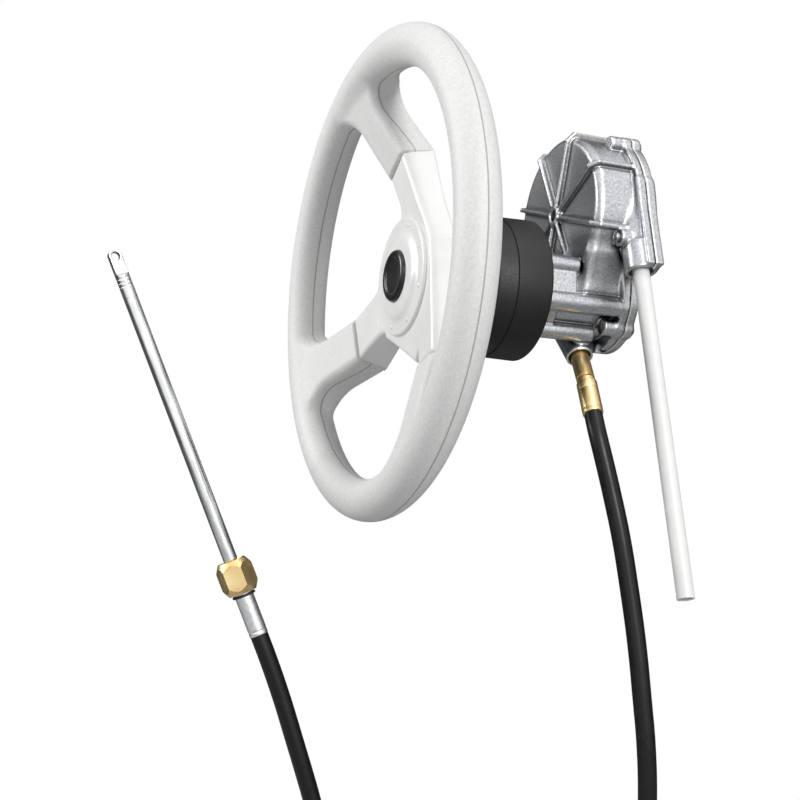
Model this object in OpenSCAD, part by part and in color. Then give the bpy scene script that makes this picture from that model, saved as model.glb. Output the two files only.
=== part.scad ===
// Boat steering helm: wheel, rotary gearbox and its push-pull cable.
// The y axis is the wheel shaft: y = 0 is the dash, the driver sits at -y, x is the driver's right.

/* [Steering wheel] */
// Outside diameter of the rim
wheel_d = 350; // [320:5:400]
// Thickness of the rim grip
rim_d = 30; // [26:1:34]
// Distance from the dash to the middle plane of the rim
wheel_reach = 112; // [108:1:130]
// Width of the single spoke across its face
spoke_w = 43; // [38:1:48]
// Width of each side spoke across its face
side_spoke_w = 36; // [32:1:42]
// Depth of a spoke from front to back
spoke_t = 26; // [22:1:30]
// Radius at which the soft grip ends on the single spoke
grip_end_r = 88; // [80:1:94]
// Distance along a side spoke at which its soft grip ends
side_grip_end = 78; // [70:1:88]
// Direction of the single spoke, from the driver's right
single_spoke_angle = 198; // [180:1:225]
// Angle from the single spoke's direction to the direction of each side spoke
spoke_spread = 82; // [76:1:100]
// How far the side spokes' middle lines pass from the shaft's line, away from the single spoke
side_spoke_set = 33.5; // [28:0.5:38]
// Thickness of the steel armature rod inside the rim
armature_rod_d = 10; // [8:1:12]
// Thickness of the armature's flat spoke bars
armature_bar_t = 6; // [4:1:8]
// Width of the armature's flat spoke bars
armature_bar_w = 22; // [16:1:26]
// Thickness of the grip skin over the hub spider's arms
skin_t = 1.5; // [1:0.5:2.5]

/* [Wheel hub] */
// Distance that the hub spider's front lies behind the rim's middle plane
hub_set_back = 18; // [14:1:22]
// Thickness of the hub spider
spider_t = 17; // [15:1:20]
// Diameter of the spider's round middle
spider_d = 92; // [90:2:104]
// Diameter of the hub ring's wide step
hub_ring_d = 86; // [76:2:88]
// Diameter of the hub ring's narrow step
hub_step_d = 60; // [48:2:68]
// Height of each step of the hub ring
hub_step_h = 3; // [2:0.5:4]
// Diameter of the black centre cap
cap_d = 37; // [30:1:42]
// Diameter of the armature's hub
hub_d = 48; // [42:1:54]
// Distance from the dash to the back of the wheel hub
hub_clear = 46; // [45:1:50]

/* [Shaft] */
// Diameter of the input shaft
shaft_d = 19; // [16:0.5:22]
// Diameter of the shaft's small end at the front of the taper
taper_end_d = 16; // [14:0.5:17]
// Length of the taper in the wheel hub
taper_l = 28; // [22:1:32]
// Diameter of the wheel nut's thread
thread_d = 12; // [10:1:14]
// Diameter of the shaft's journal behind the pinion
journal_d = 13; // [11:0.5:13.5]
// Width of the key that drives the wheel
key_w = 5; // [4:0.5:6]

/* [Bezel] */
// Outside diameter of the bezel
bezel_d = 104; // [100:1:120]
// Depth of the bezel from the dash to its front
bezel_depth = 42; // [38:1:43]
// Depth of the bezel's straight back part
bezel_band = 27; // [20:1:32]
// Wall of the bezel
bezel_wall = 3.5; // [2.5:0.5:4.5]
// Thickness of the mounting plate inside the bezel
plate_t = 7; // [5:0.5:9]
// Circle of the four dash bolts
bolt_circle_d = 68; // [64:1:72]
// Diameter of a dash bolt hole
bolt_hole_d = 6.6; // [5.5:0.1:7]

/* [Gear train] */
// Gear module
gear_module = 2; // [1.9:0.05:2.1]
// Teeth on the shaft's pinion
pinion_teeth = 12; // [12:1:13]
// Teeth on the drum gear
drum_teeth = 50; // [48:1:52]
// Width of the gear teeth
gear_w = 9; // [7:0.5:10]
// Tooth thickness left out for backlash
backlash = 0.5; // [0.3:0.05:0.7]
// Diameter of the drum's axle
axle_d = 16; // [12:1:20]

/* [Housing] */
// Distance from the dash to the front of the drum housing
drum_front = 33; // [31:1:40]
// Wall of the die-cast housing
wall_t = 5; // [4:0.5:6]
// Diameter of the barrel round the shaft
barrel_d = 60; // [54:1:64]
// Diameter of a bolt post on the barrel
post_d = 13; // [11:0.5:15]
// Width of a rib on the drum housing
rib_w = 4; // [3:0.5:5]
// Height of a rib on the drum housing
rib_h = 4; // [3:0.5:5]
// Thickness of the housing's flange at the cover
flange_t = 6; // [4:0.5:8]
// Width of the flange outside the housing's wall
flange_rim = 4; // [3:0.5:5]
// Radius of the flange's lobe round the shaft
lobe_r = 40; // [37:1:44]
// Thickness of the rear cover
cover_t = 7; // [6:0.5:9]
// Thickness of the cover's gasket
gasket_t = 0.6; // [0.4:0.1:1]
// Length of a cover screw's shank
screw_l = 12; // [10:1:12]
// Diameter of a cover screw's shank
screw_d = 4; // [3:0.5:5]

/* [Cable inlet and outlet] */
// Diameter of the cable's core wire
core_d = 7.2; // [6:0.2:8]
// Radius at which the core wire runs on the drum
core_pitch_r = 50; // [49:0.5:52]
// Lean of the cable inlet from straight down
inlet_lean = 30; // [28:0.5:32]
// Length from the inlet's tangent point on the drum to the end of its boss
inlet_l = 98; // [94:1:104]
// Diameter of the inlet boss
inlet_boss_d = 22; // [19:0.5:24]
// Lean of the spent tube from straight down
outlet_lean = 9.5; // [8:0.5:12]
// Length from the outlet's tangent point on the drum to the end of its boss
outlet_l = 66; // [62:1:70]
// Diameter of the outlet boss
outlet_boss_d = 21; // [18:0.5:23]
// Outside diameter of the spent tube
tube_d = 12; // [11:0.5:13]
// Wall of the spent tube
tube_wall = 1.3; // [1:0.1:1.8]
// Length of the spent tube outside its boss
tube_l = 238; // [200:1:280]
// Diameter of the brass inlet ferrule
ferrule_d = 12.6; // [11.5:0.1:13.5]
// Length of the ferrule outside its boss
ferrule_l = 24; // [18:1:30]
// Length of the crimp sleeve on the cable
crimp_l = 28; // [22:1:32]

/* [Cable] */
// Diameter of the cable's jacket
cable_d = 13.3; // [12:0.1:14]
// Width of a tie on the coil
tie_w = 12; // [8:1:16]

/* [Cable end] */
// Diameter of the ram
ram_d = 10.6; // [10:0.1:12]
// Length of the ram from the nut's middle to its tip
ram_l = 256; // [250:1:270]
// Thickness of the ram's flat tip
tip_t = 5; // [4:0.2:6]
// Length of the ram's flat tip
tip_l = 24; // [20:1:28]
// Diameter of the link hole in the tip
link_hole_d = 6.4; // [5:0.1:6.6]
// Diameter of the guide tube that the ram slides on
guide_d = 8; // [7.6:0.1:8.4]
// Brass nut, size across its flats
nut_af = 24; // [22:0.5:27]
// Length of the brass nut
nut_l = 25; // [20:1:28]
// Diameter of the silver end sleeve
sleeve_d = 14; // [13.5:0.1:16]
// Length of the end sleeve below the nut
sleeve_l = 33; // [28:1:40]

/* [Fits] */
// Radial clearance of a running fit
run_gap = 0.06; // [0.02:0.01:0.09]
// Radial clearance of a seat that doesn't move
seat_gap = 0.05; // [0.02:0.01:0.08]
// Clearance between pieces that pass each other
pass_gap = 0.6; // [0.4:0.1:0.8]

/* [Hidden] */
$fn = 72;

// Wheel places
rim_r = (wheel_d - rim_d) / 2;
rim_y = -wheel_reach;
spider_y = rim_y + hub_set_back;
spider_back = spider_y + spider_t;
bar_set = 0.7;
hub_front = spider_back - armature_bar_t - bar_set - 2;
hub_back = -hub_clear;
// Each spoke: direction, sideways set, width, and where the grip ends along it
spokes = [[single_spoke_angle, 0, spoke_w, grip_end_r],
    [single_spoke_angle + spoke_spread, side_spoke_set, side_spoke_w, side_grip_end],
    [single_spoke_angle - spoke_spread, -side_spoke_set, side_spoke_w, side_grip_end]];
bar_y = hub_front + bar_set + armature_bar_t / 2;
bar_bend_r = spider_d / 2 + 14;
bar_in = (side_spoke_w - armature_bar_w) / 2 - skin_t - 1.5;
grip_in_y = spider_y + 8;
arm_in = 4;
web_r = side_spoke_set + side_spoke_w / 2 - 3;
web_w = 26;
spoke_end_r = rim_r - rim_d / 2 + 4;
ring_y = spider_y - hub_step_h;
washer_t = 2;
nut_h_wheel = 9;
thread_y = hub_front - washer_t - nut_h_wheel - 0.6;
cap_front = min(ring_y - hub_step_h - 3, thread_y - 4.7);
cap_skirt = 5;
washer_d = 30;
nut_af_wheel = 19;
nut_pocket_d = washer_d + 2;

// Shaft places
taper_y0 = hub_front + 1;
taper_y1 = taper_y0 + taper_l;
key_l = taper_l - 10;
key_y = taper_y0 + 5;
key_r0 = taper_end_d / 2 - 2;
key_r1 = shaft_d / 2 + 2.5;
bush_wall = 3.5;
bush_flange_t = 3;
bush_seat = 4;
clip_t = 1.5;
clip_y = bush_seat - bush_flange_t - pass_gap - clip_t;

// Gear train and drum places
drum_z = gear_module * (pinion_teeth + drum_teeth) / 2;
gear_y0 = drum_front + wall_t + 1;
gear_y1 = gear_y0 + gear_w;
core_r = core_d / 2;
core_in_y = gear_y1 + core_r + 2.4;
core_out_y = core_in_y + 12;
groove_r = core_pitch_r - core_r - pass_gap;
drum_y1 = core_out_y + core_r + 0.8;
part_y = core_out_y + 4;
cover_y0 = part_y + gasket_t;
cover_y1 = cover_y0 + cover_t;
cover_inner = drum_y1 + washer_t + pass_gap;
cavity_r = max(core_pitch_r + core_r, gear_module * (drum_teeth / 2 + 1)) + 1.4;
drum_r = cavity_r + wall_t;
flange_r = drum_r + flange_rim;
pinion_tip_r = gear_module * (pinion_teeth / 2 + 1);
pinion_room_r = pinion_tip_r + 2;
journal_end = cover_y1 + 3;
axle_y0 = drum_front + 1;
axle_y1 = cover_y1 - 2;
axle_boss_d = axle_d + 2 * wall_t;
bush_y0 = drum_front + wall_t + 0.4;

// Inlet and outlet lines, each tangent to the core wire's circle
inlet_t = [-core_pitch_r * cos(inlet_lean), core_in_y, drum_z - core_pitch_r * sin(inlet_lean)];
inlet_drop_y = 8.6;
inlet_slope = [sin(inlet_lean), -inlet_drop_y / inlet_l, -cos(inlet_lean)];
inlet_d = inlet_slope / norm(inlet_slope);
outlet_t = [core_pitch_r * cos(outlet_lean), core_out_y, drum_z + core_pitch_r * sin(outlet_lean)];
outlet_d = [sin(outlet_lean), 0, -cos(outlet_lean)];
core_bore_r = core_r + 0.8;
ferrule_seat = 20;
ferrule_end = inlet_t + inlet_d * (inlet_l + ferrule_l);
crimp_slope = [0.36, -0.03, -0.93];
crimp_d = crimp_slope / norm(crimp_slope);
crimp_end = ferrule_end + crimp_d * crimp_l;
tube_seat = 22;

// Barrel posts: [angle, end y] of the dash bolt posts and of the long posts
bolt_r = bolt_circle_d / 2;
bolt_depth = 24;
short_post = drum_front - 3;
dash_posts = [[24, short_post], [114, short_post], [204, short_post], [294, drum_front + 17]];
long_posts = [336, 156];
collar_l = 16;
block_h = 17;
block_x = bolt_r + 1;

// Cover screws: [x, z] of each, round the drum and round the lobe
screw_r = drum_r + screw_d / 2;
screw_lug_r = screw_d / 2 + 4;
lobe_screw_r = lobe_r - screw_d / 2 - 2;
cover_screw_at = concat(
    [for (a = [100, 48, 150, 196]) [screw_r * cos(a), drum_z + screw_r * sin(a)]],
    [for (a = [310, 225]) [lobe_screw_r * cos(a), lobe_screw_r * sin(a)]]);
bezel_screw_a = [69, 159, 249, 339];
bezel_screw_d = 4;
bezel_screw_r = barrel_d / 2 - 7;

// Cable end: the ram's line through the middle of the brass nut
nut_at = [-112, -179, -207];
ram_lean = 23.7;
ram_turn = 4.9;
ram_d3 = [sin(ram_lean) * sin(ram_turn), -sin(ram_lean) * cos(ram_turn), cos(ram_lean)];
collar_d = sleeve_d + 4;
collar_h = 5;
nut_floor = 4;
sleeve_end = nut_at - ram_d3 * (nut_l / 2 + sleeve_l);
ram_foot = -nut_l / 2 + nut_floor + collar_h + pass_gap;
ram_bore_top = ram_l - tip_l - 3;
guide_top = ram_bore_top - 2;

// Coil: in on the lower layer, a climb in half a turn where the spiral reverses, out on the upper layer
coil_at = [-58, -10, -470];
coil_turns = 4.25;
coil_r = 84;
coil_first = 90;
coil_step = cable_d + 0.7;
coil_climb = cable_d + 0.7;
coil_rings = 24;
coil_turn_back = coil_turns / 2 + 0.125;
function coil_rise(t) = let (s = min(1, max(0, (t - coil_turn_back + 0.25) / 0.5))) s * s * (3 - 2 * s);
function coil_radius(t) = coil_r - coil_step * (coil_turn_back - abs(t - coil_turn_back));
function coil_point(t) = let (a = coil_first + 360 * t)
    coil_at + [coil_radius(t) * cos(a), coil_radius(t) * sin(a), coil_climb * coil_rise(t)];
coil_middle = [for (i = [0:coil_rings * coil_turns]) coil_point(i / coil_rings)];
coil_start = coil_middle[0] + [cable_d, 0, 0];
coil_stop = coil_middle[len(coil_middle) - 1] - [0, cable_d, 0];
coil_path = concat([coil_start], coil_middle, [coil_stop]);

// Least gap of the coil to itself, between points that are more than half a turn apart
function coil_gap(p, i) = min([for (j = [i + coil_rings / 2:1:len(p) - 1]) norm(p[i] - p[j])]) - cable_d;
coil_least_gap = min([for (i = [0:len(coil_middle) - coil_rings / 2 - 1]) coil_gap(coil_middle, i)]);
echo(coil_least_gap = coil_least_gap);

// Cable routes, in chosen points
helm_route = concat([crimp_end, crimp_end + crimp_d * 14], [
    [36, 45, -128], [37, 50, -152], [38, 56, -184], [37, 62, -220], [36, 67, -256], [34, 71, -292],
    [31, 75, -328], [26, 78, -364], [22, 78, -392], [17, 77, -418], [6, 76, -445], [-16, 75, -463]],
    [coil_start]);
ram_route = concat([sleeve_end, sleeve_end - ram_d3 * 14], [
    [-116, -143, -291], [-118, -131, -324], [-121, -118, -360], [-124, -105, -398], [-129, -86, -429],
    [-135, -56, -449]],
    [coil_stop]);

// Core wire: up the inlet, over the drum, down into the spent tube
wrap_steps = 14;
wrap_a0 = 180 + inlet_lean;
wrap_a1 = outlet_lean;
core_tail = outlet_l + tube_l - 10;
core_route = concat(
    [for (s = [inlet_l + ferrule_l - 6, inlet_l, inlet_l / 2]) inlet_t + inlet_d * s],
    [for (i = [0:wrap_steps]) let (f = i / wrap_steps, a = wrap_a0 + (wrap_a1 - wrap_a0) * f)
        [core_pitch_r * cos(a), core_in_y + (core_out_y - core_in_y) * f, drum_z + core_pitch_r * sin(a)]],
    [for (s = [outlet_l / 2, outlet_l, core_tail]) outlet_t + outlet_d * s]);

// Sweeps a tube along points: each ring is square to the route, and is carried on from the ring before
function unit(v) = v / norm(v);
function way(p, i, first, last) =
    i == 0 ? unit(first) : i == len(p) - 1 ? unit(last) : unit(unit(p[i + 1] - p[i]) + unit(p[i] - p[i - 1]));
function side_of(t, s) = unit(s - t * (s * t));
function sides_along(p, f, l, i, s) =
    i == len(p) ? [] : let (n = side_of(way(p, i, f, l), s)) concat([n], sides_along(p, f, l, i + 1, n));
function ring(c, t, s, r, n) =
    let (u = cross(t, s)) [for (k = [0:n - 1]) c + r * (s * cos(360 * k / n) + u * sin(360 * k / n))];
module tube_along(p, r, n, first, last) {
    m = len(p);
    t0 = unit(first);
    s0 = side_of(t0, abs(t0[1]) < 0.7 ? [0, 1, 0] : [1, 0, 0]);
    s = sides_along(p, first, last, 0, s0);
    points = [for (i = [0:m - 1]) each ring(p[i], way(p, i, first, last), s[i], r, n)];
    walls = [for (i = [0:m - 2], k = [0:n - 1]) let (a = i * n + k, b = i * n + (k + 1) % n)
        each [[a, a + n, b], [b, a + n, b + n]]];
    ends = [for (k = [1:n - 2]) each [[0, k, k + 1], [(m - 1) * n, (m - 1) * n + k + 1, (m - 1) * n + k]]];
    polyhedron(points, concat(walls, ends));
}

// Turns a profile of [radius, y] about the shaft's line
module turned() {
    rotate([-90, 0, 0])
        rotate_extrude()
            children();
}

// Makes a plate from y0 to y1 of an outline drawn in x and z
module plate(y0, y1) {
    translate([0, y1, 0])
        rotate([90, 0, 0])
            linear_extrude(y1 - y0)
                children();
}

// A round bar along y
module rod(r, y0, y1) {
    translate([0, y0, 0])
        rotate([-90, 0, 0])
            cylinder(r = r, h = y1 - y0);
}

// A round bar along a line: from p along d, between two distances
module bar_on(p, d, r, s0, s1) {
    lean = acos(d[2]);
    turn = atan2(d[1], d[0]);
    translate(p)
        rotate([0, lean, turn])
            translate([0, 0, s0])
                cylinder(r = r, h = s1 - s0);
}

// Puts an outline of [radius, y] upright in the plane of a spoke or rib, w thick, set off to its side
module fin(angle, w, set = 0) {
    rotate([0, -angle, 0])
        translate([0, 0, set - w / 2])
            linear_extrude(w)
                children();
}

// Carries what follows to the drum's centre line
module at_drum() {
    translate([0, 0, drum_z])
        children();
}

// Carries what follows to the ram's line, with z along the ram and 0 in the middle of the nut
module at_ram() {
    translate(nut_at)
        rotate([0, 0, ram_turn])
            rotate([ram_lean, 0, 0])
                children();
}

// Armature bars and rim rod, grown by e for the seats in what is moulded round them
module armature_bars(e) {
    t = armature_bar_t / 2 + e;
    for (s = spokes) {
        start = (s[1] == 0 ? hub_d / 2 - 4 : 0) - e;
        fin(s[0], armature_bar_w + 2 * e, s[1] - sign(s[1]) * bar_in)
            polygon([[start, bar_y - t], [bar_bend_r, bar_y - t], [rim_r, rim_y - t], [rim_r, rim_y + t],
                [bar_bend_r, bar_y + t], [start, bar_y + t]]);
    }
    turned()
        translate([rim_r, rim_y])
            circle(d = armature_rod_d + 2 * e);
}

module rim_grip() {
    in_f = grip_in_y - spoke_t / 2;
    in_b = grip_in_y + spoke_t / 2;
    out_f = rim_y - rim_d / 2 + 3;
    out_b = rim_y + rim_d / 2 - 3;
    color("whitesmoke")
        difference() {
            union() {
                turned()
                    translate([rim_r, rim_y])
                        circle(d = rim_d);
                for (s = spokes)
                    fin(s[0], s[2], s[1])
                        polygon([[s[3], in_f], [spoke_end_r, out_f], [spoke_end_r, out_b], [s[3], in_b]]);
            }
            armature_bars(seat_gap);
        }
}

// Steel rim rod and the flat bars that are welded to the hub
module wheel_armature() {
    color("dimgray")
        difference() {
            armature_bars(0);
            rod(hub_d / 2 + seat_gap, hub_front - 20, hub_back);
        }
}

module wheel_hub() {
    color("dimgray")
        difference() {
            rod(hub_d / 2, hub_front, hub_back);
            turned()
                polygon([[0, taper_y0 - 2], [taper_end_d / 2 + seat_gap, taper_y0 - 2],
                    [taper_end_d / 2 + seat_gap, taper_y0], [shaft_d / 2 + seat_gap, taper_y1],
                    [shaft_d / 2 + seat_gap, hub_back + 1], [0, hub_back + 1]]);
            key_shape(seat_gap);
        }
}

module hub_spider() {
    arm_f = grip_in_y - spoke_t / 2 + skin_t;
    arm_b = grip_in_y + spoke_t / 2 - skin_t;
    arm_r = hub_d / 2 + 6;
    rise_r = hub_ring_d / 2 + 2;
    web_a = single_spoke_angle + 180;
    color("white")
        difference() {
            union() {
                rod(spider_d / 2, spider_y, spider_back);
                for (s = spokes) {
                    start = s[1] == 0 ? arm_r : arm_in;
                    fin(s[0], s[2] - 2 * skin_t, s[1])
                        polygon([[start, spider_y + 1], [rise_r, spider_y + 1], [s[3], arm_f], [s[3], arm_b],
                            [rise_r, spider_back - 1], [start, spider_back - 1]]);
                }
                fin(web_a, web_w)
                    polygon([[arm_r, spider_y + 2], [web_r, spider_y + 2], [web_r, spider_back - 1.4],
                        [arm_r, spider_back - 1.4]]);
            }
            rod(nut_pocket_d / 2, spider_y - 1, hub_front);
            rod(hub_d / 2 + seat_gap, hub_front - seat_gap, spider_back + 1);
            armature_bars(seat_gap);
        }
}

module hub_ring() {
    color("white")
        turned()
            polygon([[cap_d / 2 + seat_gap, spider_y], [hub_ring_d / 2, spider_y], [hub_ring_d / 2, ring_y + 1],
                [hub_ring_d / 2 - 1, ring_y], [hub_step_d / 2 + 1, ring_y], [hub_step_d / 2, ring_y - 1],
                [hub_step_d / 2, ring_y - hub_step_h + 1], [hub_step_d / 2 - 1, ring_y - hub_step_h],
                [cap_d / 2 + seat_gap, ring_y - hub_step_h]]);
}

module centre_cap() {
    color([0.08, 0.08, 0.08])
        turned()
            polygon([[0, cap_front], [cap_d / 2 - 3, cap_front + 0.6], [cap_d / 2, cap_front + 2.5],
                [cap_d / 2, cap_front + 2 + cap_skirt], [cap_d / 2 - 2, cap_front + 2 + cap_skirt],
                [cap_d / 2 - 2, cap_front + 4], [0, cap_front + 4]]);
}

module wheel_nut() {
    color("silver")
        difference() {
            translate([0, hub_front - washer_t - nut_h_wheel, 0])
                rotate([-90, 0, 0])
                    cylinder(d = nut_af_wheel / cos(30), h = nut_h_wheel, $fn = 6);
            rod(thread_d / 2 + seat_gap, hub_front - washer_t - nut_h_wheel - 1, hub_front);
        }
}

module wheel_washer() {
    color("silver")
        difference() {
            rod(washer_d / 2, hub_front - washer_t, hub_front);
            rod(thread_d / 2 + seat_gap, hub_front - washer_t - 1, hub_front + 1);
        }
}

// Key between the shaft and the wheel hub, grown by e for its seats
module key_shape(e) {
    translate([-key_w / 2 - e, key_y - e, key_r0 - e])
        cube([key_w + 2 * e, key_l + 2 * e, key_r1 - key_r0 + 2 * e]);
}

module drive_key() {
    color("gray")
        key_shape(0);
}

module input_shaft() {
    color("lightsteelblue")
        difference() {
            turned()
                polygon([[0, thread_y], [thread_d / 2 - 1, thread_y], [thread_d / 2, thread_y + 1],
                    [thread_d / 2, taper_y0], [taper_end_d / 2, taper_y0], [shaft_d / 2, taper_y1],
                    [shaft_d / 2, gear_y0 - 1], [journal_d / 2, gear_y0 - 1], [journal_d / 2, journal_end],
                    [0, journal_end]]);
            key_shape(seat_gap);
            difference() {
                rod(shaft_d, clip_y - seat_gap, clip_y + clip_t + seat_gap);
                rod(shaft_d / 2 - 1, clip_y - 1, clip_y + clip_t + 1);
            }
        }
}

module shaft_clip() {
    color("dimgray")
        difference() {
            rod(shaft_d / 2 + 3, clip_y, clip_y + clip_t);
            rod(shaft_d / 2 - 1 + seat_gap, clip_y - 1, clip_y + clip_t + 1);
            translate([-3, clip_y - 1, -shaft_d])
                cube([6, clip_t + 2, shaft_d]);
        }
}

// Involute gear outline: each tooth has points at the root, near the pitch circle and at the tip
press_angle = 25;
function inv(a) = tan(a) - a * PI / 180;
function half_tooth(n, r) =
    let (rp = gear_module * n / 2, rb = rp * cos(press_angle), c = acos(min(1, rb / max(r, rb))))
    (PI * gear_module - backlash) / (4 * rp) * 180 / PI + (inv(press_angle) - inv(c)) * 180 / PI;
function tooth(n, at) =
    let (rp = gear_module * n / 2, root = rp - 1.25 * gear_module, tip = rp + gear_module,
        radii = [root, rp - 0.5 * gear_module, rp, rp + 0.5 * gear_module, tip])
    concat([for (r = radii) [r, at - half_tooth(n, r)]],
        [for (i = [len(radii) - 1:-1:0]) [radii[i], at + half_tooth(n, radii[i])]]);
module gear_outline(n, first) {
    polygon([for (k = [0:n - 1]) each [for (q = tooth(n, first + 360 * k / n)) [q[0] * cos(q[1]), q[0] * sin(q[1])]]]);
}

module pinion() {
    color("slategray")
        difference() {
            plate(gear_y0, gear_y1)
                gear_outline(pinion_teeth, 90);
            rod(journal_d / 2 + seat_gap, gear_y0 - 1, gear_y1 + 1);
        }
}

module bezel() {
    r = bezel_d / 2;
    front_r = r - 5.5;
    hole_r = shaft_d / 2 + 9;
    color([0.1, 0.1, 0.1])
        turned()
            polygon([[r - bezel_wall, 0], [r - 1, 0], [r, -1], [r - 0.6, -bezel_band], [r - 1.6, -bezel_band],
                [front_r + 1, -bezel_depth + 1.5], [front_r - 1, -bezel_depth], [hole_r, -bezel_depth],
                [hole_r, -bezel_depth + bezel_wall], [front_r - bezel_wall, -bezel_depth + bezel_wall],
                [r - 1.6 - bezel_wall, -bezel_band], [r - bezel_wall, -plate_t - 1]]);
}

module bezel_plate() {
    color("gray")
        difference() {
            rod(bezel_d / 2 - bezel_wall - seat_gap, -plate_t, 0);
            rod(shaft_d / 2 + bush_wall + bush_flange_t + 1, -plate_t - 1, 1);
            for (p = dash_posts)
                rotate([0, -p[0], 0])
                    translate([bolt_r, 0, 0])
                        rod(bolt_hole_d / 2, -plate_t - 1, 1);
            for (a = bezel_screw_a)
                rotate([0, -a, 0])
                    translate([bezel_screw_r, 0, 0])
                        rod(bezel_screw_d / 2 + seat_gap, -plate_t - 1, 1);
        }
}

module bezel_screws() {
    color("silver")
        for (a = bezel_screw_a)
            rotate([0, -a, 0])
                translate([bezel_screw_r, 0, 0]) {
                    rod(bezel_screw_d / 2, -plate_t - 0.5, 10);
                    rod(bezel_screw_d / 2 + 1.6, -plate_t - 2.6, -plate_t);
                }
}

module front_bush() {
    color("peru")
        difference() {
            union() {
                rod(shaft_d / 2 + bush_wall, bush_seat, drum_front);
                rod(shaft_d / 2 + bush_wall + bush_flange_t, bush_seat - bush_flange_t, bush_seat);
            }
            rod(shaft_d / 2 + run_gap, 0, drum_front + 1);
        }
}

// Slab of the outline that the flange, gasket and cover share, from y0 to y1, grown by e
module case_slab(y0, y1, e) {
    n = [cos(outlet_lean), sin(outlet_lean)];
    d = [sin(outlet_lean), -cos(outlet_lean)];
    c = [0, drum_z];
    side = flange_r + e - 0.2;
    inner = core_pitch_r - outlet_boss_d / 2 - 1 - e;
    down = outlet_l - 1 + e;
    neck_w = lobe_r - 4 + e;
    at_drum()
        rod(flange_r + e, y0, y1);
    rod(lobe_r + e, y0, y1);
    plate(y0, y1)
        polygon([c + n * side - d * 3, c + n * side + d * down, c + n * inner + d * down, c + n * inner - d * 3]);
    plate(y0, y1)
        polygon([[-neck_w, -2], [neck_w, -2], [neck_w + 12, drum_z - 28], [-neck_w - 12, drum_z - 28]]);
    for (p = cover_screw_at)
        translate([p[0], 0, p[1]])
            rod(screw_lug_r + e, y0, y1);
}

// The core wire's way through the castings, with the seats of the ferrule and the tube
module core_way() {
    bar_on(inlet_t, inlet_d, core_bore_r, -4, inlet_l + 1);
    bar_on(inlet_t, inlet_d, ferrule_d / 2 + seat_gap, inlet_l - ferrule_seat, inlet_l + 1);
    bar_on(outlet_t, outlet_d, core_bore_r, -4, outlet_l + 1);
    bar_on(outlet_t, outlet_d, tube_d / 2 + seat_gap, outlet_l - tube_seat, outlet_l + 1);
}

// Inside of the case: the drum's room, the pinion's room and the way of the journal
module case_room() {
    room_w = pinion_room_r - 1;
    at_drum()
        rod(cavity_r, drum_front + wall_t, cover_inner);
    rod(pinion_room_r, drum_front + wall_t, gear_y1 + 3);
    plate(drum_front + wall_t, gear_y1 + 3)
        polygon([[-room_w, 0], [room_w, 0], [room_w, drum_z - 40], [-room_w, drum_z - 40]]);
}

// Ribs over the drum housing's front and down its side to the flange
module drum_ribs() {
    f = drum_front;
    for (k = [0:7])
        fin(22.5 + 45 * k, rib_w)
            polygon([[axle_d / 2, f + 1], [axle_d / 2, f - rib_h], [drum_r - 3, f - rib_h], [drum_r + rib_h, f + 4],
                [drum_r + rib_h, part_y - flange_t + 1], [drum_r - 2, part_y - flange_t + 1], [drum_r - 2, f + 7],
                [drum_r - 7, f + 1]]);
}

// Drum housing's body with its rounded front edge
module drum_body() {
    round_r = 6;
    rotate([-90, 0, 0])
        rotate_extrude() {
            translate([0, drum_front])
                square([drum_r - round_r, part_y - drum_front]);
            translate([0, drum_front + round_r])
                square([drum_r, part_y - drum_front - round_r]);
            translate([drum_r - round_r, drum_front + round_r])
                intersection() {
                    circle(r = round_r);
                    square([2 * round_r, 2 * round_r], center = true);
                }
        }
}

// Barrel round the shaft, with its collar, posts and side blocks
module barrel() {
    rod(barrel_d / 2, 0, part_y);
    rod(barrel_d / 2 + 4, 0, collar_l);
    for (p = dash_posts)
        rotate([0, -p[0], 0])
            translate([bolt_r, 0, 0])
                rod(post_d / 2, 0, p[1]);
    for (a = long_posts)
        rotate([0, -a, 0])
            translate([bolt_r, 0, 0])
                rod(post_d / 2, 0, part_y);
    translate([-block_x, 0, -block_h / 2])
        cube([2 * block_x, short_post - 1.5, block_h]);
}

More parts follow.
